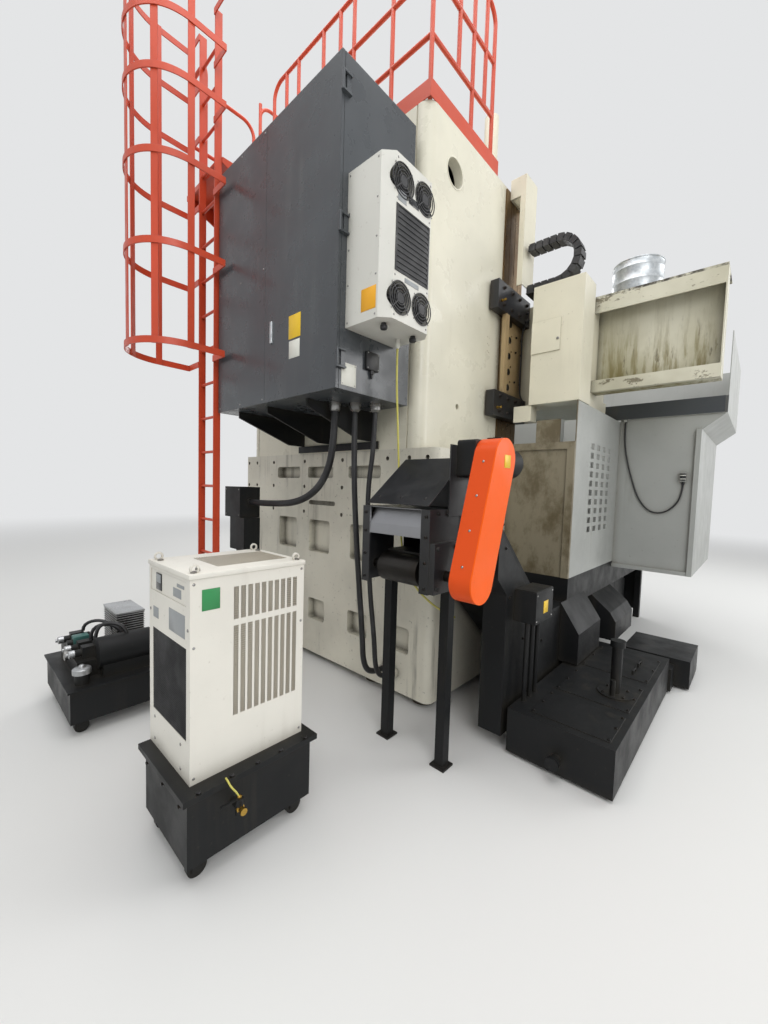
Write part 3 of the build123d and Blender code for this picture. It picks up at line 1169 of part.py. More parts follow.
# Chiller housing: vented shell over the compressor and the coils, with lifting eyes
vent_pitch = (vent_y[1] - vent_y[0]) / vent_count
vent_half = vent_share * vent_pitch / 2
chiller_rear = chiller_y[1] - chiller_wall
with BuildPart() as chiller_housing:
    block(chiller_x, chiller_y, chiller_z)
    block((chiller_x[0] + chiller_wall, chiller_x[1] - chiller_wall),
          (chiller_y[0] + chiller_wall, chiller_y[1] - chiller_wall),
          (chiller_z[0] + chiller_wall, chiller_z[1] - chiller_wall), Mode.SUBTRACT)
    block((chiller_coil_x[1] + 10, chiller_x[1] - 60), (chiller_y[0] + 60, chiller_y[1] - 60),
          (chiller_z[0], chiller_pump_top))
    block(chiller_coil_x, (chiller_y[0] + 60, chiller_y[1] - 60), (chiller_z[0], chiller_z[1]))
    for low, high in vent_fields:
        for number in range(vent_count):
            y = vent_y[0] + (number + 0.5) * vent_pitch
            block((chiller_x[0] - 1, chiller_x[0] + chiller_wall + 1),
                  (y - vent_half, y + vent_half), (low, high), Mode.SUBTRACT)
    block(intake_x, (chiller_rear - 1, chiller_y[1] + 1), intake_z, Mode.SUBTRACT)
    block((intake_x[0] - intake_lap, intake_x[1] + intake_lap), (chiller_rear - intake_depth, chiller_rear),
          (intake_z[0] - intake_lap, intake_z[1] + intake_lap))
    block(recess_x, (chiller_y[1] - recess_depth, chiller_y[1] + 1), recess_z, Mode.SUBTRACT)
    for x in (chiller_x[0] + 30, chiller_x[1] - 30):
        for y in (chiller_y[0] + 30, chiller_y[1] - 30):
            with BuildSketch(Plane.YZ.offset(x - 4)) as eye:
                with Locations((y, chiller_z[1] + 18)):
                    Circle(20)
                    Circle(12, mode=Mode.SUBTRACT)
            extrude(eye.sketch, amount=8, dir=(1, 0, 0))
chiller_housing.part.label = "chiller_housing"
export_step(chiller_housing.part, "parts/chiller_housing.step")


def casters(places, top):
    """Fixed caster wheels with their forks, from the floor up to a carrying face."""
    for x, y in places:
        rod((x - 14, y, caster_radius), (x + 14, y, caster_radius), caster_radius)
        for side in (-1, 1):
            block((x + side * 16, x + side * 20), (y - 24, y + 24), (caster_radius - 14, top))
        rod((x - 20, y, caster_radius), (x + 20, y, caster_radius), 7)
        block((x - 20, x + 20), (y - 36, y + 36), (top - 6, top))


# Chiller cart: an oil pan with a flange, casters and the drain valve
cart_flange = 25.0
with BuildPart() as chiller_cart:
    block(cart_x, cart_y, cart_z)
    block((cart_x[0] + sheet, cart_x[1] - sheet), (cart_y[0] + sheet, cart_y[1] - sheet),
          (cart_z[0] + sheet, cart_z[1]), Mode.SUBTRACT)
    block((cart_x[0] - cart_flange, cart_x[1] + cart_flange),
          (cart_y[0] - cart_flange, cart_y[1] + cart_flange),
          (cart_z[1], chiller_z[0]))
    casters([(x, y) for x in (cart_x[0] + 60, cart_x[1] - 60) for y in (cart_y[0] + 60, cart_y[1] - 60)],
            cart_z[0])
    rod((cart_x[0] - 60, cart_y[1] - 190, 290), (cart_x[0], cart_y[1] - 190, 290), 14)
    rod((cart_x[0] - 60, cart_y[1] - 190, 262), (cart_x[0] - 60, cart_y[1] - 190, 330), 17)
    block((cart_x[0] - 66, cart_x[0] - 54), (cart_y[1] - 190, cart_y[1] - 110), (328, 334))
chiller_cart.part.label = "chiller_cart"
export_step(chiller_cart.part, "parts/chiller_cart.step")

# Hydraulic unit: an oil tank on casters with pump motor, valve blocks, cooler and filler
hydraulic_top = hydraulic_z[1]
valve_xs = (330.0, 450.0, 570.0, 690.0)
with BuildPart() as hydraulic_unit:
    block(hydraulic_x, hydraulic_y, hydraulic_z)
    block((hydraulic_x[0] - 15, hydraulic_x[1] + 15), (hydraulic_y[0] - 15, hydraulic_y[1] + 15),
          (hydraulic_top - 12, hydraulic_top))
    hollow(hydraulic_x, hydraulic_y, hydraulic_z, sheet)
    casters([(x, y) for x in (hydraulic_x[0] + 70, hydraulic_x[1] - 70)
             for y in (hydraulic_y[0] + 70, hydraulic_y[1] - 70)], hydraulic_z[0])
    rod((hydraulic_x[0] + 170, hydraulic_y[0] + 90, hydraulic_top + 150),
        (hydraulic_x[0] + 170, hydraulic_y[0] + 420, hydraulic_top + 150), 105)
    block((hydraulic_x[0] + 90, hydraulic_x[0] + 250), (hydraulic_y[0] + 110, hydraulic_y[0] + 400),
          (hydraulic_top, hydraulic_top + 80))
    block((valve_xs[0] - 80, valve_xs[-1] + 80), (hydraulic_y[1] - 230, hydraulic_y[1] - 70),
          (hydraulic_top, hydraulic_top + 110))
    for x in valve_xs:
        block((x - 32, x + 32), (hydraulic_y[1] - 190, hydraulic_y[1] - 110),
              (hydraulic_top + 110, hydraulic_top + 190))
        rod((x, hydraulic_y[1] - 230, hydraulic_top + 150), (x, hydraulic_y[1] - 70, hydraulic_top + 150),
            24)
    block((hydraulic_x[1] - 400, hydraulic_x[1] - 60), (hydraulic_y[0] + 60, hydraulic_y[0] + 240),
          (hydraulic_top, hydraulic_top + 330))
    rod((hydraulic_x[0] + 90, hydraulic_y[1] - 80, hydraulic_top),
        (hydraulic_x[0] + 90, hydraulic_y[1] - 80, hydraulic_top + 70), 42)
    rod((hydraulic_x[0] + 90, hydraulic_y[1] - 80, hydraulic_top + 70),
        (hydraulic_x[0] + 90, hydraulic_y[1] - 80, hydraulic_top + 100), 50)
hydraulic_unit.part.label = "hydraulic_unit"
export_step(hydraulic_unit.part, "parts/hydraulic_unit.step")

# Crossrail: hollow casting with two front ways, the saddle's feed screw between them
channel_y = (rail_y[0], rail_y[0] + front_web)
channel_z = (rail_z[0] + front_way, rail_z[1] - front_way)
feed_y = rail_y[0] + 0.45 * front_web
feed_z = sum(rail_z) / 2
feed_block = 60.0
rear_window_half = 140.0
rear_window_x = (screw_x - rear_window_half, screw_x + rear_window_half)
with BuildPart() as crossrail_casting:
    block((-rail_half, rail_half), rail_y, rail_z)
    block((-rail_half, rail_half), (rail_y[0], rail_y[0] + saddle_hook),
          (rail_z[1], rail_z[1] + rail_top_rib))
    block((-rail_half, rail_half), channel_y, channel_z, Mode.SUBTRACT)
    block((rail_wall - rail_half, rail_half - rail_wall), (channel_y[1] + rail_wall, rail_y[1] - rail_wall),
          (rail_z[0] + rail_wall, rail_z[1] - rail_wall), Mode.SUBTRACT)
    for side in (-1, 1):
        block((side * rear_window_x[0], side * rear_window_x[1]), (rail_y[1] - rail_wall - 1, rail_y[1] + 1),
              (rail_z[0] + 250, rail_z[1] - 250), Mode.SUBTRACT)
        rod((side * screw_x, screw_y, rail_z[0] - 1), (side * screw_x, screw_y, rail_z[1] + 1),
            screw_radius + slide_gap, Mode.SUBTRACT)
        block((side * (rail_half - feed_block), side * rail_half), channel_y,
              (feed_z - feed_block, feed_z + feed_block))
    rod((feed_block - rail_half, feed_y, feed_z), (rail_half - feed_block, feed_y, feed_z),
        feed_screw_radius)
crossrail_casting.part.label = "crossrail_casting"
export_step(crossrail_casting.part, "parts/crossrail_casting.step")

# Keeper plates with their bolt holes and the clamp blocks that hold the crossrail on the ways
keeper_x = (column_half + way_thick + slide_gap, column_half + way_thick + slide_gap + keeper_thick)
keeper_count = int((clamp_high_z[0] - clamp_low_z[1]) // keeper_pitch)
keeper_first = (clamp_low_z[1] + clamp_high_z[0] - (keeper_count - 1) * keeper_pitch) / 2
clamp_inner = column_half + way_thick + clamp_gap
clamp_bolts = [(rail_y[1] + share * (clamp_rear - rail_y[1]), side) for share in (0.12, 0.36, 0.6, 0.84)
               for side in (-1, 1)]
with BuildPart() as rail_clamps:
    for side in (-1, 1):
        block((side * keeper_x[0], side * keeper_x[1]), (rail_y[1], keeper_y),
              (clamp_low_z[1], clamp_high_z[0]))
        for number in range(keeper_count):
            z = keeper_first + number * keeper_pitch
            for y, drop, radius in ((keeper_y - 105, 0, keeper_big), (keeper_y - 175, 62, keeper_small)):
                rod((side * (keeper_x[0] - 1), y, z - drop), (side * (keeper_x[1] + 1), y, z - drop), radius,
                    Mode.SUBTRACT)
        for z in (clamp_low_z, clamp_high_z):
            block((side * clamp_inner, side * clamp_x), (rail_y[1], clamp_rear), z)
            for y, end in clamp_bolts:
                bolt_z = sum(z) / 2 + end * 0.3 * (z[1] - z[0])
                rod((side * clamp_x, y, bolt_z), (side * (clamp_x + clamp_head), y, bolt_z), 15)
        block((side * (clamp_x - 40), side * clamp_x), (keeper_y, keeper_y + 60),
              (clamp_low_z[1], clamp_high_z[0]))
rail_clamps.part.label = "rail_clamps"
export_step(rail_clamps.part, "parts/rail_clamps.step")

# Boxes over the crossrail's drive behind its two ends
end_box_step = 60.0
hatch_x = (end_box_x[0], end_box_x[0] + 245)
hatch_z = (2840.0, 3105.0)
with BuildPart() as rail_end_boxes:
    for side in (-1, 1):
        block((side * end_box_x[0], side * end_box_x[1]), end_box_y, end_box_z)
        block((side * end_box_x[0], side * (end_box_x[1] - end_box_step)), (rail_y[1], end_box_y[0]),
              end_box_z)
        block((side * (end_box_x[0] + sheet), side * (end_box_x[1] - end_box_step - sheet)),
              (rail_y[1] - 1, end_box_y[1] - sheet), (end_box_z[0] + sheet, end_box_z[1] - sheet),
              Mode.SUBTRACT)
        block((side * hatch_x[0], side * hatch_x[1]), (end_box_y[1], end_box_y[1] + 8), hatch_z)
        block((side * (end_box_x[0] - 140), side * (end_box_x[0] + 20)),
              (end_box_y[0] + 140, end_box_y[0] + 260),
              (end_box_z[0] - 140, end_box_z[0]))
        block((side * (end_box_x[0] - 141), side * (end_box_x[0] + 8)),
              (end_box_y[0] + 139, end_box_y[0] + 248),
              (end_box_z[0] - 141, end_box_z[0] - 12), Mode.SUBTRACT)
        for y in (rail_y[1] + 60, rail_y[1] + 110):
            rod((side * (end_box_x[0] - 24), y, end_box_z[0] + 60),
                (side * (end_box_x[0] - 24), y, end_box_z[1] - 60),
                14)
            for z in (end_box_z[0] + 100, end_box_z[1] - 100):
                block((side * (end_box_x[0] - 24), side * end_box_x[0]), (y - 18, y + 18), (z - 12, z + 12))
rail_end_boxes.part.label = "rail_end_boxes"
export_step(rail_end_boxes.part, "parts/rail_end_boxes.step")

# Guard over the saddle's run beyond the rail's left end, open to the rear, with a drum on top
with BuildPart() as rail_guard_box:
    block(guard_box_x, (guard_web_y, guard_web_y + plate), guard_box_z)
    block(guard_box_x, guard_box_y, (guard_box_z[1] - thick_sheet, guard_box_z[1]))
    block(guard_box_x, (guard_web_y, guard_box_y[1]), (guard_box_z[0], guard_box_z[0] + thick_sheet))
    block(guard_box_x, (guard_box_y[1] - thick_sheet, guard_box_y[1]),
          (guard_box_z[1] - guard_lip_top, guard_box_z[1]))
    block(guard_box_x, (guard_box_y[1] - thick_sheet, guard_box_y[1]),
          (guard_box_z[0], guard_box_z[0] + guard_lip_low))
    block((guard_box_x[0], guard_box_x[0] + thick_sheet), (guard_web_y, guard_box_y[1]), guard_box_z)
    rod((drum_x, drum_y, guard_box_z[1]), (drum_x, drum_y, guard_box_z[1] + drum_height), drum_radius)
    rod((drum_x, drum_y, guard_box_z[1] + thick_sheet),
        (drum_x, drum_y, guard_box_z[1] + drum_height), drum_radius - thick_sheet, Mode.SUBTRACT)
rail_guard_box.part.label = "rail_guard_box"
export_step(rail_guard_box.part, "parts/rail_guard_box.step")

# Cable chain on its tray: a flat band bent back over itself, with a cross link at each pitch
tray_top = rail_z[1] + 12
chain_low = tray_top + chain_link / 2
chain_high = chain_low + 2 * chain_radius
band_half = 0.36 * chain_link
run_links = int((chain_end_x - chain_loop_x) // chain_link)
arc_links = int(3.14159 * chain_radius // chain_link)
with BuildPart() as cable_chain:
    block((chain_loop_x - 90, chain_end_x), (rail_y[1] - 150, chain_y[1]), (rail_z[1], tray_top))
    with BuildSketch(Plane.XZ.offset(-chain_y[0] - 8)) as band:
        with Locations((chain_loop_x, (chain_low + chain_high) / 2)):
            Circle(chain_radius + band_half)
            Circle(chain_radius - band_half, mode=Mode.SUBTRACT)
        with Locations((chain_loop_x + chain_radius, (chain_low + chain_high) / 2)):
            Rectangle(2 * chain_radius, 3 * chain_radius, mode=Mode.SUBTRACT)
        for z in (chain_low, chain_high):
            with Locations(((chain_loop_x + chain_end_x) / 2, z)):
                Rectangle(chain_end_x - chain_loop_x, 2 * band_half)
    extrude(band.sketch, amount=chain_y[1] - chain_y[0] - 16, dir=(0, 1, 0))
    for z in (chain_low, chain_high):
        for number in range(run_links):
            x = chain_loop_x + (number + 0.5) * chain_link
            block((x - 0.42 * chain_link, x + 0.42 * chain_link), chain_y,
                  (z - chain_link / 2, z + chain_link / 2))
    for number in range(arc_links):
        angle = 90 + (number + 0.5) * 180 / arc_links
        x = chain_loop_x + chain_radius * cos(radians(angle))
        z = (chain_low + chain_high) / 2 + chain_radius * sin(radians(angle))
        with Locations(Location((x, sum(chain_y) / 2, z), (0, 90 - angle, 0))):
            Box(0.84 * chain_link, chain_y[1] - chain_y[0], chain_link)
cable_chain.part.label = "cable_chain"
export_step(cable_chain.part, "parts/cable_chain.step")

# Saddle on the crossrail's ways, with the ram's square bore, the feed nut and the ram's motor
saddle_rear = rail_y[0] - slide_gap
rib_top = rail_z[1] + rail_top_rib
feed_nut = 120.0
with BuildPart() as saddle:
    block((-saddle_half, saddle_half), (saddle_front, saddle_rear), (saddle_z[0], rib_top + saddle_hook))
    fillet(saddle.edges().filter_by(Axis.Z).sort_by(Axis.Y)[:2], 40)
    block((-saddle_half, saddle_half), (saddle_rear, rail_y[0] + 2 * saddle_hook),
          (rib_top + slide_gap, rib_top + saddle_hook))
    block((-saddle_half, saddle_half), (rail_y[0] + saddle_hook + slide_gap, rail_y[0] + 2 * saddle_hook),
          (rail_z[1] + slide_gap, rib_top + slide_gap))
    block((-feed_nut, feed_nut), (saddle_rear, channel_y[1] - 5),
          (feed_z - feed_nut / 2, feed_z + feed_nut / 2))
    rod((-feed_nut - 1, feed_y, feed_z), (feed_nut + 1, feed_y, feed_z), feed_screw_radius + slide_gap,
        Mode.SUBTRACT)
    block((-ram_half - slide_gap, ram_half + slide_gap), (-ram_half - slide_gap, ram_half + slide_gap),
          (saddle_z[0] - 1, rib_top + saddle_hook + 1), Mode.SUBTRACT)
    rod((saddle_half - 90, saddle_front + 130, rib_top + saddle_hook),
        (saddle_half - 90, saddle_front + 130, rib_top + saddle_hook + 380), 80)
saddle.part.label = "saddle"
export_step(saddle.part, "parts/saddle.step")

# Square ram with the turret's bore in its foot
with BuildPart() as ram:
    block((-ram_half, ram_half), (-ram_half, ram_half), (ram_bottom, ram_top))
    chamfer(ram.edges().filter_by(Axis.Z), 8)
    rod((0, 0, ram_bottom), (0, 0, ram_bottom + turret_pin * 2), turret_pin + shaft_fit, Mode.SUBTRACT)
ram.part.label = "ram"
export_step(ram.part, "parts/ram.step")

# Tool turret: a six-sided disc with a tool holder on each face
turret_top = ram_bottom - slide_gap
holder_height = 130.0
with BuildPart() as turret:
    with BuildSketch(Plane.XY.offset(turret_top - turret_height)) as disc:
        RegularPolygon(turret_radius, turret_stations)
    extrude(disc.sketch, amount=turret_height)
    rod((0, 0, turret_top), (0, 0, ram_bottom + 2 * turret_pin - slide_gap), turret_pin)
    for number in range(turret_stations):
        angle = (number + 0.5) * 360 / turret_stations
        reach = turret_radius * cos(radians(180 / turret_stations)) + 24
        holder_x = reach * cos(radians(angle))
        holder_y = reach * sin(radians(angle))
        with Locations(Location((holder_x, holder_y, turret_top - turret_height / 2), (0, 0, angle))):
            Box(60, 110, holder_height)
            Box(32, 32, holder_height + 110)
turret.part.label = "turret"
export_step(turret.part, "parts/turret.step")

# Work table: face plate with a raised centre land, T-slots and jaw slots, and the spindle under it
table_bottom = seat_top + slide_gap
slot_angle = 360 / slot_count
jaw_angles = [slot_angle * 1.5 + number * 360 / jaw_count for number in range(jaw_count)]
with BuildPart() as worktable:
    rod((0, 0, table_bottom), (0, 0, table_top), table_radius)
    chamfer(worktable.edges().filter_by(GeomType.CIRCLE).sort_by(Axis.Z)[-1], 8)
    rod((0, 0, seat_top - spindle_depth + slide_gap), (0, 0, table_bottom), spindle_radius)
    rod((0, 0, table_bottom), (0, 0, table_top + land_height), land_radius)
    rod((0, 0, seat_top - spindle_depth), (0, 0, table_top + land_height + 1), table_bore, Mode.SUBTRACT)
    slot_long = table_radius + 10 - slot_inner
    for number in range(slot_count):
        angle = number * slot_angle
        place = slot_inner + slot_long / 2
        middle = (place * cos(radians(angle)), place * sin(radians(angle)))
        with Locations(Location((middle[0], middle[1], table_top + 1), (0, 0, angle))):
            Box(slot_long, slot_width, slot_depth + 1, align=(Align.CENTER, Align.CENTER, Align.MAX),
                mode=Mode.SUBTRACT)
        with Locations(Location((middle[0], middle[1], table_top - slot_depth), (0, 0, angle))):
            Box(slot_long, slot_foot, slot_depth * 0.4, align=(Align.CENTER, Align.CENTER, Align.MIN),
                mode=Mode.SUBTRACT)
    jaw_long = table_radius + 10 - jaw_slot_inner
    for angle in jaw_angles:
        place = jaw_slot_inner + jaw_long / 2
        middle = (place * cos(radians(angle)), place * sin(radians(angle)))
        with Locations(Location((middle[0], middle[1], table_top + 1), (0, 0, angle))):
            Box(jaw_long, jaw_slot, jaw_slot + 1, align=(Align.CENTER, Align.CENTER, Align.MAX),
                mode=Mode.SUBTRACT)
worktable.part.label = "worktable"
export_step(worktable.part, "parts/worktable.step")

# The four stepped jaws, each with a key that runs in its slot
jaw_low_height = 100.0
for number, angle in enumerate(jaw_angles, 1):
    outward = Plane(origin=(0, 0, 0), x_dir=(cos(radians(angle)), sin(radians(angle)), 0), z_dir=(0, 0, 1))
    with BuildPart(outward) as jaw:
        block((jaw_place - jaw_length / 2 + jaw_step, jaw_place + jaw_length / 2),
              (-jaw_width / 2, jaw_width / 2),
              (table_top + slide_gap, table_top + jaw_height))
        block((jaw_place - jaw_length / 2, jaw_place + jaw_length / 2), (-jaw_width / 2, jaw_width / 2),
              (table_top + slide_gap, table_top + jaw_low_height))
        block((jaw_place - jaw_length / 2, jaw_place + jaw_length / 2),
              (slide_gap - jaw_slot / 2, jaw_slot / 2 - slide_gap),
              (table_top - jaw_slot + slide_gap, table_top + slide_gap))
    jaw.part.label = f"jaw_{number}"
    export_step(jaw.part, f"parts/jaw_{number}.step")

# Pendant arm: a pin in the front bracket, an arm forward and a drop to the pendant's socket
arm_top = pendant_pivot_z + pendant_bracket / 2 + slide_gap + arm_radius
box_y = pivot_y - pendant_reach
with BuildPart() as pendant_arm:
    rod((pendant_x, pivot_y, pendant_pivot_z - pendant_bracket / 2), (pendant_x, pivot_y, arm_top),
        pivot_radius)
    rod((pendant_x, pivot_y, arm_top - arm_radius), (pendant_x, pivot_y, arm_top + arm_radius),
        arm_radius + 8)
    rod((pendant_x, pivot_y, arm_top), (pendant_x, box_y, arm_top), arm_radius)
    rod((pendant_x, box_y, pendant_z[1] + pendant_socket + slide_gap),
        (pendant_x, box_y, arm_top + arm_radius),
        arm_radius)
    rod((pendant_x, box_y, pendant_z[1] - pendant_socket),
        (pendant_x, box_y, pendant_z[1] + pendant_socket + 1),
        pivot_radius)
pendant_arm.part.label = "pendant_arm"
export_step(pendant_arm.part, "parts/pendant_arm.step")

# Pendant box with its socket, the bores of its buttons and a rim round the screen
face_y = box_y - pendant_depth / 2
estop_place = (pendant_x + 140, pendant_z[0] + 120)
start_place = (pendant_x + 40, pendant_z[0] + 120)
knob_place = (pendant_x - 100, pendant_z[0] + 120)
button_bore = 40.0
with BuildPart() as pendant_box:
    block((pendant_x - pendant_width / 2, pendant_x + pendant_width / 2),
          (face_y, face_y + pendant_depth), pendant_z)
    rod((pendant_x, box_y, pendant_z[1]), (pendant_x, box_y, pendant_z[1] + pendant_socket), arm_radius)
    rod((pendant_x, box_y, pendant_z[1] - pendant_socket - 1),
        (pendant_x, box_y, pendant_z[1] + pendant_socket + 1),
        pivot_radius + shaft_fit, Mode.SUBTRACT)
    block((pendant_x - 160, pendant_x + 160), (face_y - 1, face_y + 5),
          (pendant_z[0] + 250, pendant_z[1] - 40),
          Mode.SUBTRACT)
    for x, z in (estop_place, start_place, knob_place):
        rod((x, face_y, z), (x, face_y + button_bore, z), button_stem + shaft_fit, Mode.SUBTRACT)
    hollow((pendant_x - pendant_width / 2, pendant_x + pendant_width / 2),
           (face_y + button_bore, face_y + pendant_depth),
           (pendant_z[0], pendant_z[1] - pendant_socket - plate),
           sheet)
pendant_box.part.label = "pendant_box"
export_step(pendant_box.part, "parts/pendant_box.step")


def push_button(place, radius, height):
    """A round button with its stem, standing proud of the pendant by its travel."""
    x, z = place
    stop_y = face_y - button_travel - slide_gap
    rod((x, stop_y - height, z), (x, stop_y, z), radius)
    rod((x, stop_y, z), (x, face_y + button_bore - button_travel - 2, z), button_stem)


with BuildPart() as estop_button:
    push_button(estop_place, 24, 18)
estop_button.part.label = "estop_button"
export_step(estop_button.part, "parts/estop_button.step")

with BuildPart() as start_button:
    push_button(start_place, 15, 9)
start_button.part.label = "start_button"
export_step(start_button.part, "parts/start_button.step")

with BuildPart() as override_knob:
    push_button(knob_place, 21, 16)
    block((knob_place[0] - 3, knob_place[0] + 3), (face_y - button_travel - 26, face_y - button_travel - 8),
          (knob_place[1], knob_place[1] + 20))
override_knob.part.label = "override_knob"
export_step(override_knob.part, "parts/override_knob.step")
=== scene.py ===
from itertools import product
import math

import bmesh
import bpy
from mathutils import Matrix, Vector


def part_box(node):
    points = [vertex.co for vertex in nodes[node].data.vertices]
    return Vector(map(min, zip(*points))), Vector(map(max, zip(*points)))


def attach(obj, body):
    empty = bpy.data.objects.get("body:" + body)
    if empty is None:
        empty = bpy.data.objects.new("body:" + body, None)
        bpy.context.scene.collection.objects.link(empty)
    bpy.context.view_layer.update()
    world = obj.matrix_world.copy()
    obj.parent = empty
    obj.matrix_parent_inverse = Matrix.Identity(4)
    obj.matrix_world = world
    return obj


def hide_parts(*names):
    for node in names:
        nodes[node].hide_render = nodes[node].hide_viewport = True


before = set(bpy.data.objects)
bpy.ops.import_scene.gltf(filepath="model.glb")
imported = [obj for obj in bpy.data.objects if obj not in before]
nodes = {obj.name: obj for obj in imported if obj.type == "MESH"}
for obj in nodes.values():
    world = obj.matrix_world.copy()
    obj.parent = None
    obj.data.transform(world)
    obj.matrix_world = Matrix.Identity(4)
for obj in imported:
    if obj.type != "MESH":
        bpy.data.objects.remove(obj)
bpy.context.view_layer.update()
finishes = {}
shapes = []


def srgb(red, green, blue):
    """A colour given as it looks on a screen, 0 to 255, as the shader's linear value."""
    def linear(value):
        share = value / 255
        return share / 12.92 if share <= 0.04045 else ((share + 0.055) / 1.055) ** 2.4
    return (linear(red), linear(green), linear(blue), 1.0)


def side_of(node, side):
    """Where a side of a node's box lies at rest. A side is an axis and its sign, such as +x."""
    low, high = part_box(node)
    return (high if side[0] == "+" else low)["xyz".index(side[1])]


def corner(node, *sides):
    """A corner of a node's box. An axis that isn't named stays at zero."""
    place = Vector()
    for side in sides:
        place["xyz".index(side[1])] = side_of(node, side)
    return place


class Nodes:
    """A node tree, with short calls for what is done with it."""

    def __init__(self, tree):
        self.tree = tree

    def node(self, kind, takes=None, **settings):
        """A new node with its settings, and with what each of its sockets takes."""
        made = self.tree.nodes.new(kind)
        for key, value in settings.items():
            setattr(made, key, value)
        for socket, source in (takes or {}).items():
            self.link(source, made.inputs[socket])
        return made

    def link(self, source, target):
        """Joins a socket or sets a value. Three numbers are a colour as a screen shows it."""
        if isinstance(source, bpy.types.NodeSocket):
            self.tree.links.new(source, target)
        elif isinstance(source, tuple) and len(source) == 3:
            target.default_value = srgb(*source)
        else:
            target.default_value = source

    def blend(self, share, first, second, output):
        """Two shaders mixed by a share, as what the tree gives out."""
        mixed = self.node("ShaderNodeMixShader", {0: share, 1: first.outputs[0], 2: second.outputs[0]})
        self.link(mixed.outputs[0], self.tree.nodes[output].inputs["Surface"])


class Finish(Nodes):
    """A material, with short calls for the nodes that the finishes share."""

    def __init__(self, name):
        self.material = finishes[name] = bpy.data.materials.new(name)
        self.material.use_nodes = True
        super().__init__(self.material.node_tree)
        self.surface = self.tree.nodes["Principled BSDF"]
        self.place = self.node("ShaderNodeTexCoord").outputs["Object"]

    def noise(self, scale, detail=4.0, stretch=(1, 1, 1), roughness=0.55):
        mapping = self.node("ShaderNodeMapping", {"Vector": self.place})
        mapping.inputs["Scale"].default_value = stretch
        return self.node("ShaderNodeTexNoise", {"Vector": mapping.outputs["Vector"], "Scale": scale,
                                                "Detail": detail, "Roughness": roughness}).outputs["Fac"]

    def between(self, value, low, high, to_low=0.0, to_high=1.0):
        """A value rescaled from low..high to to_low..to_high, with soft ends."""
        return self.node("ShaderNodeMapRange", {"Value": value, "From Min": low, "From Max": high,
                                                "To Min": to_low, "To Max": to_high},
                         interpolation_type="SMOOTHSTEP").outputs["Result"]

    def drift(self, scale, detail, low, high):
        """A value that wanders between two numbers over the surface."""
        return self.between(self.noise(scale, detail), 0.3, 0.7, low, high)

    def times(self, first, *others):
        for other in others:
            made = self.node("ShaderNodeMath", {0: first, 1: other}, operation="MULTIPLY", use_clamp=True)
            first = made.outputs[0]
        return first

    def plus(self, first, second):
        return self.node("ShaderNodeMath", {0: first, 1: second}, operation="ADD").outputs[0]

    def mix(self, share, first, second):
        return self.node("ShaderNodeMix", {0: share, 6: first, 7: second}, data_type="RGBA").outputs[2]

    def stain(self, tone, color, *shares):
        """A tone with a colour mixed in where every share is high."""
        return self.mix(self.times(*shares), tone, color)

    def axis(self, letter):
        """The position along one axis of the row frame, in metres."""
        return self.node("ShaderNodeSeparateXYZ", {0: self.place}).outputs[letter]

    def inside(self, letter, low, high, soft=0.004):
        """One where the position along an axis lies between two places."""
        place = self.axis(letter)
        rising = self.between(place, low - soft, low)
        falling = self.between(place, high, high + soft, 1.0, 0.0)
        return self.times(rising, falling)

    def beside(self, node, side, low, high, soft=0.004):
        """One between two distances from a side of a node's box."""
        edge = side_of(node, side)
        return self.inside(side[1].upper(), edge + low, edge + high, soft)

    def crevice_dirt_and_shade(self, distance):
        """One in corners and under ledges, zero on open faces: where the finishes mix in painted shade and
        dirt.
        """
        made = self.node("ShaderNodeAmbientOcclusion", {"Distance": distance}, samples=4)
        return self.between(made.outputs["AO"], 0.45, 0.95, 1.0, 0.0)

    def relief(self, height, strength, distance, edge=0.0):
        """Bump from a height, over edges rounded by a small radius."""
        made = self.node("ShaderNodeBump", {"Strength": strength, "Distance": distance, "Height": height})
        if edge:
            rounded = self.node("ShaderNodeBevel", {"Radius": edge}, samples=4)
            self.link(rounded.outputs[0], made.inputs["Normal"])
        self.link(made.outputs[0], self.surface.inputs["Normal"])

    def set(self, **values):
        for key, value in values.items():
            self.link(value, self.surface.inputs[key.replace("_", " ")])


def darker(color, loss):
    return tuple(value * (1 - loss) for value in srgb(*color)[:3]) + (1.0,)


def paint(name, color, roughness=0.42, dirt_and_shade=(70, 60, 40), grime_and_shade=0.35, streaks=0.15, mottle=0.06,
          grain=0.08, edge=0.003, zones=(), bare=None, shine=0.5):
    """Painted metal: mottled colour, runs of dirt, specks, shade painted in corners and the paint's fine
    skin.

    Each zone is a share and a colour. The share named bare has no paint on its metal.
    """
    finish = Finish(name)
    tone = finish.mix(finish.between(finish.noise(1.4, 5), 0.35, 0.65), darker(color, 2.2 * mottle), color)
    for share, other in zones:
        tone = finish.mix(share(finish), tone, other)
    runs = finish.between(finish.noise(2.2, 8, (5, 5, 0.45), 0.62), 0.52, 0.72)
    patches = finish.between(finish.noise(0.9, 3), 0.42, 0.62)
    tone = finish.stain(tone, dirt_and_shade, runs, patches, streaks)
    specks = finish.between(finish.noise(38, 3), 0.66, 0.74)
    tone = finish.stain(tone, dirt_and_shade, specks, 0.6 * grime_and_shade)
    # Corners and spots under ledges take the dirt colour: painted shade on light paints, a light dust on
    # dark ones.
    tone = finish.stain(tone, dirt_and_shade, finish.crevice_dirt_and_shade(0.07), grime_and_shade)
    finish.set(Base_Color=tone, Roughness=finish.drift(5, 5, roughness - 0.08, roughness + 0.1),
               Specular_IOR_Level=shine)
    if bare:
        finish.set(Metallic=finish.times(bare(finish), 0.9))
    finish.relief(finish.plus(finish.noise(420, 2), finish.noise(6, 3)), grain, 0.0012, edge)


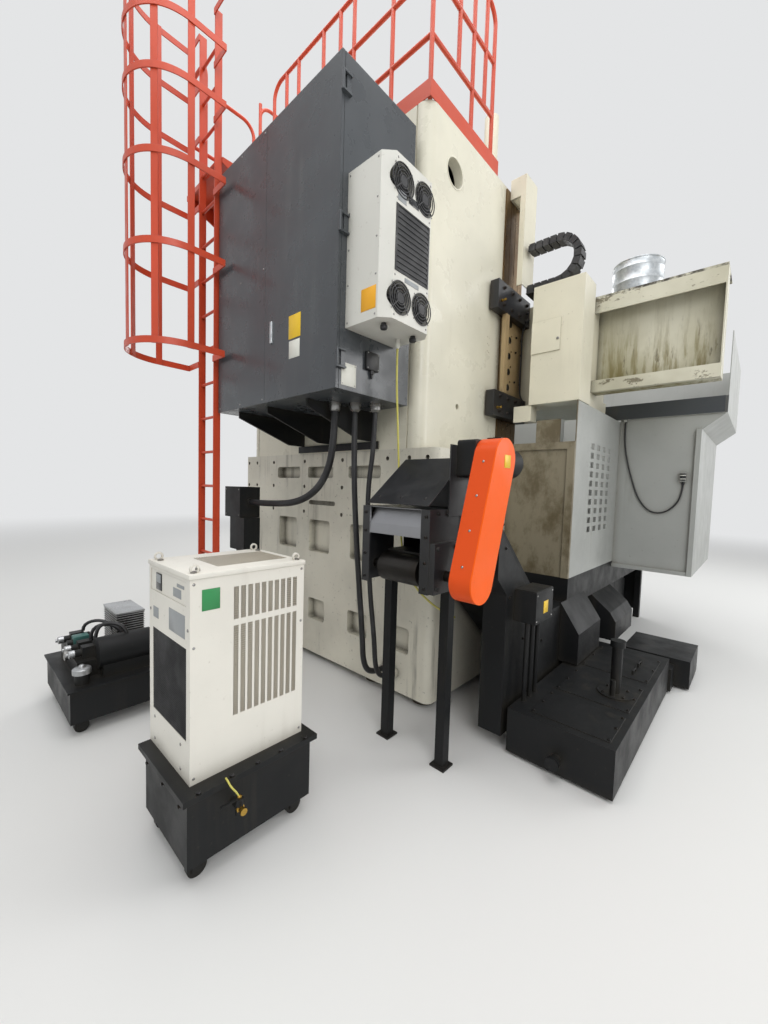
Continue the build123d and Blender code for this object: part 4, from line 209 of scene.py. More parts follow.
def steel(name, color, roughness=0.32, dirt_and_shade=(78, 56, 30), oil=0.4, brushed=(1, 1, 60), metallic=0.9,
          edge=0.0015):
    """Bare metal with a brushed grain, oil stains and painted shade in corners."""
    finish = Finish(name)
    grain = finish.noise(30, 4, brushed)
    tone = finish.mix(finish.between(grain, 0.3, 0.7), darker(color, 0.28), color)
    tone = finish.stain(tone, dirt_and_shade, finish.between(finish.noise(3.5, 7, (1, 1, 0.4)), 0.45, 0.68), oil)
    # Painted shade: corners and spots under ledges take the dirt colour.
    tone = finish.stain(tone, dirt_and_shade, finish.crevice_dirt_and_shade(0.04), 0.5)
    finish.set(Base_Color=tone, Metallic=metallic,
               Roughness=finish.drift(9, 5, roughness - 0.08, roughness + 0.14))
    finish.relief(grain, 0.12, 0.0006, edge)


def polymer(name, color, roughness=0.5, grain=0.1, dust=0.2):
    """Moulded plastic or rubber with a fine grain and a little dust."""
    finish = Finish(name)
    pale = tuple(min(1.0, 0.12 + value) for value in srgb(*color)[:3]) + (1.0,)
    tone = finish.stain(color, pale, finish.between(finish.noise(7, 6), 0.45, 0.75), dust)
    finish.set(Base_Color=tone, Roughness=finish.drift(12, 4, roughness - 0.06, roughness + 0.08))
    finish.relief(finish.noise(600, 2), grain, 0.0006, 0.0012)


def galvanised(name):
    """Zinc-coated sheet with its crystal pattern and painted shade in corners."""
    finish = Finish(name)
    spangle = finish.node("ShaderNodeTexVoronoi", {"Vector": finish.place, "Scale": 55})
    tone = finish.mix(spangle.outputs["Color"], (176, 182, 186), (206, 210, 212))
    # Painted shade in corners and under ledges.
    tone = finish.stain(tone, (70, 66, 58), finish.crevice_dirt_and_shade(0.05), 0.5)
    finish.set(Base_Color=tone, Metallic=0.65, Roughness=finish.drift(20, 4, 0.28, 0.44))
    finish.relief(finish.noise(60, 3), 0.08, 0.0006, 0.0015)


def window_glass(name):
    """Clear safety glass with faint dried splashes."""
    finish = Finish(name)
    splash = finish.between(finish.noise(24, 6), 0.58, 0.75)
    finish.set(Base_Color=finish.stain((222, 234, 230), (190, 190, 180), splash, 0.4),
               Transmission_Weight=0.85, IOR=1.45, Roughness=finish.between(splash, 0, 1, 0.03, 0.3))


def cast_table(name):
    """Turned cast iron: rings round the table's axis, with an oily film."""
    finish = Finish(name)
    rings = finish.node("ShaderNodeTexWave", {"Vector": finish.place, "Scale": 90, "Distortion": 0.6},
                        wave_type="RINGS", rings_direction="Z")
    height = rings.outputs["Fac"]
    tone = finish.mix(finish.between(height, 0, 1), (112, 112, 112), (146, 146, 144))
    film = finish.between(finish.noise(3, 6), 0.45, 0.7)
    tone = finish.stain(tone, (74, 66, 52), film, 0.5)
    finish.set(Base_Color=tone, Metallic=0.85, Roughness=finish.drift(6, 5, 0.26, 0.44))
    finish.relief(height, 0.15, 0.0005, 0.002)


# The guard box: its drum stands on a deck below the box's top
guard_low, guard_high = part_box("rail_guard_box")
drum_height = 0.260
guard_deck = guard_high.z - drum_height


def stained_guard(name):
    """Cream sheet under green and brown runs of coolant, thickest low on the web, with a flaking lip and
    painted shade in its corners.
    """
    finish = Finish(name)
    box = "rail_guard_box"
    edge_top = guard_deck + 0.015
    tone = finish.mix(finish.between(finish.noise(1.2, 4), 0.35, 0.65), (186, 182, 160),
                      (214, 211, 192))
    fade = finish.between(finish.axis("Z"), guard_low.z + 0.028, guard_low.z + 0.708, 1.0, 0.12)
    low = finish.times(fade, finish.beside(box, "-y", -0.030, 0.370))
    film = finish.between(finish.noise(1.7, 6, (1, 1, 0.6)), 0.40, 0.62)
    tone = finish.stain(tone, (150, 144, 104), film, low, 0.75)
    runs = finish.between(finish.noise(4.0, 10, (4, 4, 0.42), 0.68), 0.46, 0.62)
    tone = finish.stain(tone, (120, 108, 58), runs, low, 0.9)
    dark_runs = finish.between(finish.noise(9.0, 10, (3, 3, 0.45), 0.74), 0.56, 0.66)
    tone = finish.stain(tone, (74, 62, 34), dark_runs, low, 0.9)
    lips = finish.plus(finish.inside("Z", guard_deck - 0.125, edge_top),
                       finish.beside(box, "-z", -0.007, 0.098))
    chips = finish.between(finish.noise(11, 8, (0.5, 1, 1), 0.75), 0.575, 0.625)
    outer = finish.times(lips, finish.beside(box, "+y", -0.030, 0.020))
    tone = finish.stain(tone, (96, 86, 62), chips, outer, 0.8)
    edge = finish.between(finish.noise(7, 9, (0.6, 1, 1), 0.8), 0.44, 0.56)
    tone = finish.stain(tone, (48, 42, 34), edge, finish.inside("Z", guard_deck - 0.019, edge_top))
    # Painted shade in corners and under the lips.
    tone = finish.stain(tone, (44, 38, 26), finish.crevice_dirt_and_shade(0.07), 0.8)
    finish.set(Base_Color=tone, Roughness=finish.drift(6, 5, 0.36, 0.6))
    finish.relief(finish.plus(finish.noise(30, 5), finish.times(chips, outer)), 0.15, 0.001, 0.003)


# Zones of one node that have another colour, as shares that a finish mixes in
def rear_of_wall(finish):
    """The oily bare panels behind the enclosure's side walls."""
    return finish.beside("enclosure_sides", "+y", -0.029, 0.086)


def wall_stains(finish):
    """Dried coolant on those panels."""
    stains = finish.between(finish.noise(3.2, 9, (1, 1, 0.6), 0.7), 0.42, 0.60)
    return finish.times(stains, rear_of_wall(finish))


def fascia_band(finish):
    """The dark band under the guard box, on the wings."""
    box = "rail_guard_box"
    return finish.times(finish.beside(box, "-z", -0.167, -0.017), finish.beside(box, "-y", -0.275, -0.250))


def clamp_blocks(finish):
    """The blocks at both ends of the keeper plates."""
    node = "rail_clamps"
    return finish.plus(finish.beside(node, "-z", -0.010, 0.221), finish.beside(node, "+z", -0.241, 0.010))


def deflector(finish):
    """The bright bent plate under the conveyor's hood."""
    node = "conveyor_hood"
    return finish.times(finish.beside(node, "-x", 0.109, 0.491), finish.beside(node, "+y", -0.080, -0.018),
                        finish.beside(node, "-z", 0.296, 0.456))


def guard_side_shade(finish):
    """The narrow sides of the chain guard, behind its broad face, where a darker orange paints their shade.
    """
    return finish.beside("chain_guard", "-x", 0.007, 0.210, 0.001)


def column_cells(finish):
    """The unpainted cells inside the column."""
    node = "column_casting"
    return finish.times(finish.beside(node, "-x", 0.075, 2.255), finish.beside(node, "+y", -1.056, -0.076),
                        finish.beside(node, "-z", 0.050, 2.410))


# Each call's dirt colour and grime share also set the shade painted in corners.
paint("column", (229, 225, 206), 0.32, (120, 104, 66), 0.25, 0.12, 0.05, 0.06,
      zones=[(column_cells, (30, 29, 27))])
paint("base", (224, 220, 204), 0.48, (52, 46, 34), 0.75, 0.55, 0.08, 0.14)
paint("cream", (228, 223, 202), 0.40, (112, 98, 64), 0.35, 0.12, 0.04)
steel("ways", (132, 108, 76), 0.30, (66, 44, 22), 0.6, (60, 60, 1))
paint("clamps", (176, 152, 112), 0.40, (60, 44, 24), 0.6, 0.5, 0.08,
      zones=[(clamp_blocks, (34, 35, 38))])
paint("charcoal", (66, 70, 74), 0.30, (104, 106, 104), 0.16, 0.20, 0.07, 0.10)
paint("hood", (36, 37, 39), 0.38, (90, 84, 74), 0.22, 0.18, 0.08, 0.12,
      zones=[(deflector, (148, 149, 152))], bare=deflector)
steel("belt_steel", (62, 60, 58), 0.38, (52, 42, 30), 0.6, (60, 1, 1))
paint("black", (27, 28, 29), 0.46, (84, 78, 66), 0.20, 0.20, 0.08, 0.12, shine=0.22)
paint("rails", (206, 74, 42), 0.38, (96, 34, 20), 0.35, 0.10, 0.05, 0.08)
# The chain guard's sides are a darker orange as painted shade.
paint("guard", (255, 100, 10), 0.38, (150, 44, 12), 0.25, 0.10, 0.03, 0.05,
      zones=[(guard_side_shade, (226, 82, 28))], shine=0.22)
paint("panel", (170, 172, 168), 0.44, (96, 88, 70), 0.45, 0.25, 0.05,
      zones=[(rear_of_wall, (134, 126, 106)), (wall_stains, (98, 88, 66)),
             (fascia_band, (62, 66, 70))])
paint("front", (184, 186, 184), 0.42, (96, 90, 76), 0.30, 0.12, 0.04)
paint("cooler", (218, 217, 209), 0.46, (120, 112, 92), 0.30, 0.08, 0.03, 0.16)
paint("chiller", (232, 229, 219), 0.46, (130, 116, 90), 0.35, 0.14, 0.04, 0.12)
stained_guard("guard_box")
galvanised("drum")
cast_table("table")
steel("tool_steel", (150, 150, 152), 0.30, (70, 60, 44), 0.3)
steel("feet", (120, 118, 112), 0.42, (60, 48, 32), 0.5)
polymer("chain", (34, 34, 36), 0.5, 0.2, 0.35)
polymer("rubber", (26, 26, 28), 0.42, 0.15, 0.18)
polymer("hose", (196, 188, 92), 0.28, 0.05, 0.15)
polymer("red_button", (206, 32, 24), 0.28, 0.05, 0.05)
polymer("green_button", (36, 150, 70), 0.28, 0.05, 0.05)
window_glass("glass")

nodes_of_finish = {
    "feet": "levelling_feet", "base": "base_casting", "column": "column_casting", "ways": "column_ways",
    "cream": "rail_drive column_covers crossrail_casting rail_end_boxes saddle",
    "rails": "guardrails access_ladder ladder_cage",
    "charcoal": "cabinet_shell cabinet_door_wide cabinet_panel",
    "black": "cabinet_brackets chip_pan coolant_tank conveyor_casing conveyor_gearmotor junction_boxes "
             "chiller_cart hydraulic_unit",
    "drum": "cabinet_handle", "cooler": "ac_housing", "panel": "enclosure_sides",
    "chain": "ac_grilles ac_fan_1 ac_fan_2 ac_fan_3 ac_fan_4 cable_chain override_knob",
    "front": "enclosure_front door_left door_right pendant_arm pendant_box",
    "glass": "glass_left glass_right", "hood": "conveyor_hood", "guard": "chain_guard",
    "belt_steel": "conveyor_shaft", "chiller": "chiller_housing", "clamps": "rail_clamps",
    "guard_box": "rail_guard_box", "tool_steel": "ram turret jaw_1 jaw_2 jaw_3 jaw_4", "table": "worktable",
    "red_button": "estop_button", "green_button": "start_button",
}
for finish, names in nodes_of_finish.items():
    for node in names.split():
        nodes[node].data.materials.clear()
        nodes[node].data.materials.append(finishes[finish])

# Free cords: each route repeats its solid's points, in metres, and starts at the upper end
conduit_1_route = [(-0.749, 3.050, 2.207), (-0.749, 3.050, 1.910), (-0.640, 3.056, 1.665),
                   (-0.395, 3.060, 1.525), (-0.020, 3.050, 1.482), (0.390, 3.050, 1.482)]
conduit_2_route = [(-0.853, 2.950, 2.207), (-0.853, 2.950, 1.850), (-0.858, 2.925, 1.420),
                   (-0.880, 2.895, 0.960), (-0.905, 2.868, 0.560), (-0.902, 2.846, 0.310),
                   (-0.900, 2.751, 0.215), (-0.900, 2.626, 0.215)]
conduit_3_route = [(-0.957, 2.850, 2.207), (-0.957, 2.850, 1.950), (-0.915, 2.862, 1.640),
                   (-0.928, 2.858, 1.270), (-0.955, 2.850, 0.880), (-1.005, 2.842, 0.540),
                   (-1.012, 2.828, 0.300), (-1.010, 2.738, 0.212), (-1.010, 2.626, 0.212)]
drain_hose_route = [(-1.230, 2.938, 2.575), (-1.230, 2.938, 2.370), (-1.226, 2.915, 2.165),
                    (-1.232, 2.903, 1.960), (-1.229, 2.884, 1.755), (-1.234, 2.868, 1.550),
                    (-1.230, 2.848, 1.345), (-1.240, 2.815, 1.145), (-1.290, 2.755, 0.965),
                    (-1.400, 2.665, 0.835), (-1.470, 2.560, 0.765), (-1.455, 2.440, 0.712),
                    (-1.350, 2.440, 0.712)]
wing_cable_route = [(-1.955, 0.166, 2.395), (-1.955, 0.166, 2.200), (-1.990, 0.170, 2.000),
                    (-2.045, 0.168, 1.800), (-2.110, 0.166, 1.610), (-2.215, 0.170, 1.480),
                    (-2.345, 0.166, 1.482), (-2.445, 0.168, 1.585), (-2.474, 0.166, 1.715),
                    (-2.474, 0.166, 1.790)]
# Each conduit's node, route, radius and the pitch of its ribs
conduits = (("conduit_1", conduit_1_route, 0.027, 0.010), ("conduit_2", conduit_2_route, 0.022, 0.009),
            ("conduit_3", conduit_3_route, 0.019, 0.008))
cable_radius = 0.007


def route_line(name, route):
    """The points of a smooth line along a route."""
    curve = bpy.data.curves.new(name, "CURVE")
    curve.dimensions = "3D"
    spline = curve.splines.new("NURBS")
    spline.points.add(len(route) - 1)
    for point, place in zip(spline.points, route):
        point.co = (*place, 1.0)
    spline.order_u = 3
    spline.use_endpoint_u = True
    spline.resolution_u = 24
    holder = bpy.data.objects.new(name, curve)
    mesh = bpy.data.meshes.new_from_object(holder)
    points = [vertex.co.copy() for vertex in mesh.vertices]
    bpy.data.objects.remove(holder)
    return points


def evenly(points, step):
    """The same line with its points a step apart."""
    lengths = [(b - a).length for a, b in zip(points, points[1:])]
    count = max(2, round(sum(lengths) / step))
    spacing = sum(lengths) / count
    made = [points[0]]
    index = 0
    behind = 0.0
    for number in range(1, count):
        target = number * spacing
        while behind + lengths[index] < target:
            behind += lengths[index]
            index += 1
        made.append(points[index].lerp(points[index + 1], (target - behind) / lengths[index]))
    made.append(points[-1])
    return made


def circle(mesh, centre, across, up, radius, sides):
    """New points of a mesh on a circle, given by its two directions."""
    turns = [2 * math.pi * side / sides for side in range(sides)]
    return [mesh.verts.new(centre + radius * (across * math.cos(turn) + up * math.sin(turn)))
            for turn in turns]


def skin(mesh, first, second):
    """The faces between two rings of points. A ring may be a single point."""
    sides = max(len(first), len(second))
    for side in range(sides):
        after = (side + 1) % sides
        corners = [first[side % len(first)], first[after % len(first)],
                   second[after % len(second)], second[side % len(second)]]
        mesh.faces.new(list(dict.fromkeys(corners)))


def tube_mesh(name, points, radii, sides, material):
    """The mesh of a closed tube along points, with a radius at each."""
    shape = bmesh.new()
    across = Vector((0, 0, 1)).cross(points[1] - points[0])
    if across.length < 1e-6:
        across = Vector((1, 0, 0))
    across.normalize()
    rings = []
    for index, point in enumerate(points):
        ahead = (points[min(index + 1, len(points) - 1)] - points[max(index - 1, 0)]).normalized()
        across = (across - ahead * across.dot(ahead)).normalized()
        rings.append(circle(shape, point, across, ahead.cross(across), radii[index], sides))
    for first, second in zip(rings, rings[1:]):
        skin(shape, first, second)
    shape.faces.new(list(reversed(rings[0])))
    shape.faces.new(rings[-1])
    bmesh.ops.recalc_face_normals(shape, faces=shape.faces)
    for face in shape.faces:
        face.smooth = True
    mesh = bpy.data.meshes.new(name)
    shape.to_mesh(mesh)
    shape.free()
    mesh.materials.append(material)
    return mesh


def make_cord(node, route, radius, material, rib=0.0):
    """A cord's piece in place of its solid; rib is the pitch of its ribs, or 0 for a smooth one."""
    line = route_line(f"{node}_line", route)
    if rib:
        points = evenly(line, rib / 2)
        radii = [radius if index % 2 else 0.9 * radius for index in range(len(points))]
    else:
        points = evenly(line, 3 * radius)
        radii = [radius] * len(points)
    piece = bpy.data.objects.new(f"{node}_run", tube_mesh(f"{node}_run", points, radii, 20, material))
    bpy.context.scene.collection.objects.link(piece)
    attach(piece, "frame")
    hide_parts(node)


for name, route, radius, rib in conduits:
    make_cord(name, route, radius, finishes["rubber"], rib)
make_cord("drain_hose", drain_hose_route, cable_radius, finishes["hose"])
make_cord("wing_cable", wing_cable_route, cable_radius, finishes["rubber"])

left, right_side = (-1, 0, 0), (1, 0, 0)
near_side, rear = (0, -1, 0), (0, 1, 0)
below, above = (0, 0, -1), (0, 0, 1)
corner_turns = [math.radians(45 + 90 * number) for number in range(4)]
# Profiles of screw heads, in radii
domed = ((1, 0), (0.95, 0.2), (0.7, 0.42), (0.3, 0.52), (0, 0.54))
socket = ((1, 0), (1, 0.75), (0.86, 0.9), (0.5, 0.9), (0.45, 0.4), (0, 0.4))


class Shape:
    """Small solids of one finish, gathered in one object that rides a body.

    All places count from the origin, a corner of the node that carries them.
    """

    def __init__(self, name, finish, slot, origin=(0, 0, 0), body="frame"):
        self.name, self.finish, self.slot, self.body = name, finishes[finish], slot, body
        self.origin = Vector(origin)
        self.mesh = bmesh.new()
        shapes.append(self)

    def plate(self, low, high, bevel=0.002):
        """A box with rounded edges."""
        made = bmesh.ops.create_cube(self.mesh, size=1)["verts"]
        low, size = self.origin + Vector(low), Vector(high) - Vector(low)
        for vertex in made:
            vertex.co = low + (vertex.co + Vector((0.5, 0.5, 0.5))) * size
        edges = list({edge for vertex in made for edge in vertex.link_edges})
        bmesh.ops.bevel(self.mesh, geom=edges, offset=min(bevel, 0.4 * min(size)), segments=2,
                        affect="EDGES", profile=0.5)

    def side_plate(self, x, y, z, thick, bevel=0.001):
        """A thin plate on a face that looks along -X, over a range of y and one of z."""
        self.plate((x - thick, y[0], z[0]), (x, y[1], z[1]), bevel)

    def rear_plate(self, x, y, z, thick, bevel=0.001, sunk=0.0):
        """A thin plate on a face that looks along +Y, over a range of x and one of z."""
        self.plate((x[0], y - sunk, z[0]), (x[1], y + thick, z[1]), bevel)

    def bars(self, low, high, pitch, bar):
        """Rows of thin bars over a field, for a vent or a filter."""
        count = max(2, int((high[2] - low[2]) / pitch))
        step = (high[2] - low[2]) / count
        for number in range(count):
            z = low[2] + (number + 0.5) * step
            self.plate((low[0], low[1], z - bar / 2), (high[0], high[1], z + bar / 2), 0.0006)

    def rings(self, start, axis, profile, sides):
        """Rings of points round an axis, one for each radius and height of the profile."""
        axis = Vector(axis).normalized()
        across = axis.orthogonal().normalized()
        up = axis.cross(across)
        start = self.origin + Vector(start)
        return [circle(self.mesh, start + axis * height, across, up, radius, sides if radius else 1)
                for radius, height in profile]

    def turned(self, start, axis, profile, sides=20):
        """A turned solid: the profile gives radius and height along the axis."""
        rings = self.rings(start, axis, profile, sides)
        for first, second in zip(rings, rings[1:]):
            skin(self.mesh, first, second)
        for ring in (rings[0], rings[-1]):
            if len(ring) > 1:
                self.mesh.faces.new(ring)

    def open_ring(self, start, axis, profile, sides=40):
        """A ring whose profile runs round its section, with no end faces."""
        rings = self.rings(start, axis, profile, sides)
        for first, second in zip(rings, rings[1:] + rings[:1]):
            skin(self.mesh, first, second)

    def screw(self, place, axis, radius, head=domed):
        """A screw head on a face."""
        self.turned(place, axis, [(radius * reach, radius * height) for reach, height in head], 12)

    def screws(self, axis, radius, xs, ys, zs, head=domed):
        """Screw heads at each of the x, y and z."""
        for place in product(xs, ys, zs):
            self.screw(place, axis, radius, head)

    def tube(self, points, radius, sides=12):
        """A smooth pipe through points."""
        route = [self.origin + Vector(point) for point in points]
        line = evenly(route_line(f"{self.name}_route", route), 2 * radius)
        run = tube_mesh(f"{self.name}_run", line, [radius] * len(line), sides, self.finish)
        self.mesh.from_mesh(run)
        bpy.data.meshes.remove(run)

    def place(self):
        """The finished object, on its body."""
        bmesh.ops.recalc_face_normals(self.mesh, faces=self.mesh.faces)
        mesh = bpy.data.meshes.new(self.name)
        self.mesh.to_mesh(mesh)
        self.mesh.free()
        mesh.materials.append(self.finish)
        for polygon in mesh.polygons:
            polygon.use_smooth = True
        mesh.set_sharp_from_angle(angle=math.radians(32))
        piece = bpy.data.objects.new(self.name, mesh)
        bpy.context.scene.collection.objects.link(piece)
        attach(piece, self.body)


def inset(ends, first, last=None):
    """Two places inside a range, each at its margin from an end."""
    return ends[0] + first, ends[1] - (first if last is None else last)


paint("yellow_field", (238, 196, 40), 0.4, (120, 96, 30), 0.2, 0.1, 0.03, 0.03)
paint("amber_field", (244, 176, 34), 0.4, (120, 90, 30), 0.2, 0.1, 0.03, 0.03)
paint("pale_field", (224, 224, 214), 0.4, (130, 120, 96), 0.25, 0.15, 0.03, 0.03)
paint("green_field", (52, 142, 82), 0.4, (60, 70, 40), 0.2, 0.1, 0.04, 0.03)
paint("grey_field", (150, 154, 156), 0.4, (90, 86, 76), 0.2, 0.1, 0.03, 0.03)
steel("screw_steel", (168, 168, 166), 0.28, (80, 66, 44), 0.25, edge=0.0)
steel("dark_screw", (58, 58, 60), 0.34, (70, 60, 44), 0.3, edge=0.0)
steel("brass", (196, 158, 76), 0.28, (90, 66, 30), 0.3, edge=0.0)
paint("vent", (178, 170, 154), 0.5, (60, 54, 44), 0.5, 0.2, 0.06, 0.05, 0.0)
polymer("filter", (22, 22, 24), 0.7, 0.5, 0.3)
polymer("glossy_black", (16, 18, 22), 0.12, 0.02, 0.05)
steel("alloy", (190, 192, 194), 0.34, (96, 88, 70), 0.35, (1, 40, 1), 0.85, 0.0)
paint("teal", (52, 104, 98), 0.45, (40, 40, 34), 0.5, 0.4, 0.08)

# Cabinet: plain fields on the door, a cream plate, a connector, screws and the glands over the conduits.
# The origin is the rear lower edge of its side over the cooling unit
cabinet = corner("cabinet_panel", "+y", "-z") + corner("ac_housing", "+x")
Shape("cabinet_yellow_field", "yellow_field", "guard_paint", cabinet, "cabinet_door").rear_plate(
    (0.365, 0.500), 0, (0.388, 0.543), 0.0015, 0.0012)
Shape("cabinet_pale_field", "pale_field", "cream_paint", cabinet, "cabinet_door").rear_plate(
    (0.372, 0.494), 0, (0.258, 0.375), 0.0012)
plate_y, plate_z, plate_thick = (-0.167, -0.045), (0.027, 0.165), 0.0016
Shape("cabinet_cream_plate", "pale_field", "cream_paint", cabinet).side_plate(
    0, plate_y, plate_z, plate_thick)
socket_y, socket_z, socket_deep = (-0.357, -0.239), (0.161, 0.279), 0.022
connector = Shape("cabinet_connector", "rubber", "black_plastic", cabinet)
connector.side_plate(0, socket_y, socket_z, socket_deep, 0.008)
connector.turned((-0.010, -0.297, socket_z[0]), below,
                 [(0.014, 0), (0.014, 0.022), (0.010, 0.026), (0.007, 0.05)])
cabinet_screws = Shape("cabinet_screws", "screw_steel", "ground_steel", cabinet)
cabinet_screws.screws(left, 0.004, [0.0002 - plate_thick], inset(plate_y, 0.010), inset(plate_z, 0.010))
cabinet_screws.screws(left, 0.005, [-socket_deep], inset(socket_y, 0.012), inset(socket_z, 0.012))
cabinet_screws.screws(rear, 0.007, (0.830, 1.160, 1.500), [0], (0.028, 0.963, 1.903))
glands = Shape("conduit_glands", "screw_steel", "ground_steel")
for name, route, radius, rib in conduits:
    glands.turned((route[0][0], route[0][1], cabinet.z), below,
                  [(0.044, 0), (0.044, 0.014), (0.0395, 0.018), (0.0395, 0.046), (radius + 0.007, 0.058),
                   (radius + 0.001, 0.062)], 24)

# Cooling unit: screws, fields, knobs under it and the drain's nut
cooler, cooler_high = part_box("ac_housing")
cooler_wide, cooler_deep = cooler_high.x - cooler.x, cooler_high.y - cooler.y
unit_screws = Shape("cooler_screws", "screw_steel", "ground_steel", cooler)
screw_rows = (0.065, 0.285, 0.492, 0.705, 0.920)
unit_screws.screws(left, 0.006, [0], inset((0, cooler_deep), 0.075), screw_rows)
unit_screws.screws(rear, 0.006, (0.080, cooler_wide - 0.018), [cooler_deep], screw_rows)
fan_screw_reach = 0.101
for y, z, turn in product((0.325, 0.125), (0.815, 0.170), corner_turns):
    unit_screws.screw((0, y + fan_screw_reach * math.cos(turn), z + fan_screw_reach * math.sin(turn)),
                      left, 0.005)
Shape("cooler_amber_field", "amber_field", "guard_paint", cooler).rear_plate(
    (0.074, 0.194), cooler_deep, (0.097, 0.225), 0.0015, 0.0012)
Shape("cooler_display", "glossy_black", "black_plastic", cooler).side_plate(
    0, (0.182, 0.274), (0.721, 0.763), 0.0025, 0.002)
pale_fields = Shape("cooler_pale_fields", "grey_field", "ac_paint", cooler)
pale_fields.side_plate(0, (0.295, 0.368), (0.695, 0.755), 0.0015)
pale_fields.side_plate(0, (0.160, 0.290), (0.270, 0.297), 0.0015)
knobs = Shape("cooler_knobs", "rubber", "black_plastic", cooler)
for y in (0.360, 0.090):
    knobs.turned((0.090, y, 0.040), below,
                 [(0.016, 0), (0.016, 0.010), (0.022, 0.014), (0.022, 0.030), (0.018, 0.036), (0, 0.037)])
Shape("drain_nut", "pale_field", "ac_paint", drain_hose_route[0]).turned(
    (0, 0, 0.015), below, [(0.0165, 0), (0.0165, 0.022), (0.0105, 0.030), (0.0085, 0.034)])

# Column: rims of the round holes
column_low, column_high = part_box("column_casting")
rims = Shape("column_hole_rims", "column", "cream_paint", (0, column_high.y, column_high.z))
rim = [(0.1025, -0.02), (0.1025, 0.0025), (0.106, 0.004), (0.112, 0.003), (0.114, -0.001), (0.114, -0.02)]
for x, axis in ((column_low.x, left), (column_high.x, right_side)):
    rims.open_ring((x, -0.336, -0.338), axis, rim)

# Conveyor: screws of the head and then of the casing, each from its own corner
head_screws = Shape("conveyor_screws", "dark_screw", "ground_steel",
                    corner("conveyor_hood", "-x", "+y", "-z"))
head_screws.screws(left, 0.009, [0.048], (-0.265, -0.180, -0.095), [0.435], socket)
head_screws.screws(rear, 0.009, (0.072, 0.527), [-0.020], (0.030, 0.170, 0.310, 0.420), socket)
bend_out = (0, 0.63, 0.77)
head_screws.screws(bend_out, 0.009, (0.102, 0.272, 0.442), [-0.045], [0.5185])
head_screws.origin = corner("conveyor_casing", "-x", "+y")
for y, z in ((-1.110, 0.560), (-1.000, 0.660), (-0.780, 0.660), (-0.550, 0.980), (-0.470, 1.300),
             (-0.410, 1.450)):
    head_screws.screw((0, y, z), left, 0.009, socket)

# Chain guard: screws along its narrow sides, from its upper end, and a plain field
guard_depth = 0.065
guard_start = corner("chain_guard", "-x") + Vector((guard_depth, 2.911, 1.823))
guard_run, guard_half = Vector((0, 0.199, -0.648)), Vector((0, 0.1085, 0.0333))
guard_screws = Shape("guard_screws", "screw_steel", "ground_steel", guard_start)
for share, side in product((0.08, 0.36, 0.64, 0.92), (-1, 1)):
    guard_screws.screw(share * guard_run + side * guard_half, side * guard_half, 0.007)
Shape("guard_yellow_field", "yellow_field", "guard_paint", guard_start).side_plate(
    -guard_depth, (-0.055, 0.015), (-0.047, 0.023), 0.0015, 0.0012)

# Junction boxes: a plain field and screws on the lid, and screws on the stand's rear
junction = corner("junction_boxes", "-x", "-y")
stand = corner("junction_boxes", "+x", "+y", "+z") - junction
lid_z = (0.822, 1.019)
Shape("junction_yellow_field", "yellow_field", "guard_paint", junction).side_plate(
    0, (0.082, 0.154), inset(lid_z, 0.050, 0.067), 0.0015, 0.0012)
box_screws = Shape("junction_screws", "screw_steel", "ground_steel", junction)
box_screws.screws(left, 0.006, [0], (0.016, 0.257), inset(lid_z, 0.016))
box_screws.screws(rear, 0.006, (stand.x - 0.260, stand.x - 0.020), [stand.y],
                  (stand.z - 0.255, stand.z - 0.025))

# Crossrail clamps: bolts, keeper screws and pipe fittings
clamp_low, clamp_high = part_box("rail_clamps")
keeper_face, plug_seat, fitting_face = clamp_high.x - 0.0625, clamp_high.x - 0.068, clamp_high.x - 0.010
clamp_screws = Shape("clamp_screws", "dark_screw", "plate_steel", body="crossrail")
pipe_fittings = Shape("clamp_fittings", "brass", "ground_steel", body="crossrail")
bolt_rows = [clamp_low.y + 0.0768 + 0.1537 * number for number in range(4)]
bolt_levels = (clamp_low.z + 0.044, clamp_low.z + 0.176, clamp_high.z - 0.192, clamp_high.z - 0.048)
for side, axis in ((-1, left), (1, right_side)):
    clamp_screws.screws(axis, 0.012, [side * clamp_high.x], bolt_rows, bolt_levels, socket)
    for y, z in product((0.0503, 0.1603), (0.380, 0.660, 0.800)):
        clamp_screws.screw((side * keeper_face, clamp_low.y + y, clamp_low.z + z), axis, 0.010, socket)
    for z in (clamp_low.z + 0.070, clamp_high.z - 0.170):
        pipe_fittings.turned((side * fitting_face, clamp_high.y - 0.060, z), axis,
                             [(0.012, 0), (0.012, 0.012), (0.008, 0.014), (0.008, 0.030), (0.011, 0.032),
                              (0.011, 0.044), (0, 0.046)])

# Crossrail ends: the locks of the hatches
end_low, end_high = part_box("rail_end_boxes")
lock = Shape("hatch_lock", "screw_steel", "ground_steel", body="crossrail")
for x in (end_low.x + 0.194, end_high.x - 0.194):
    lock.turned((x, end_high.y, end_low.z + 0.665), rear,
                [(0.011, 0), (0.011, 0.004), (0.008, 0.006), (0.008, 0.0035), (0, 0.0035)])

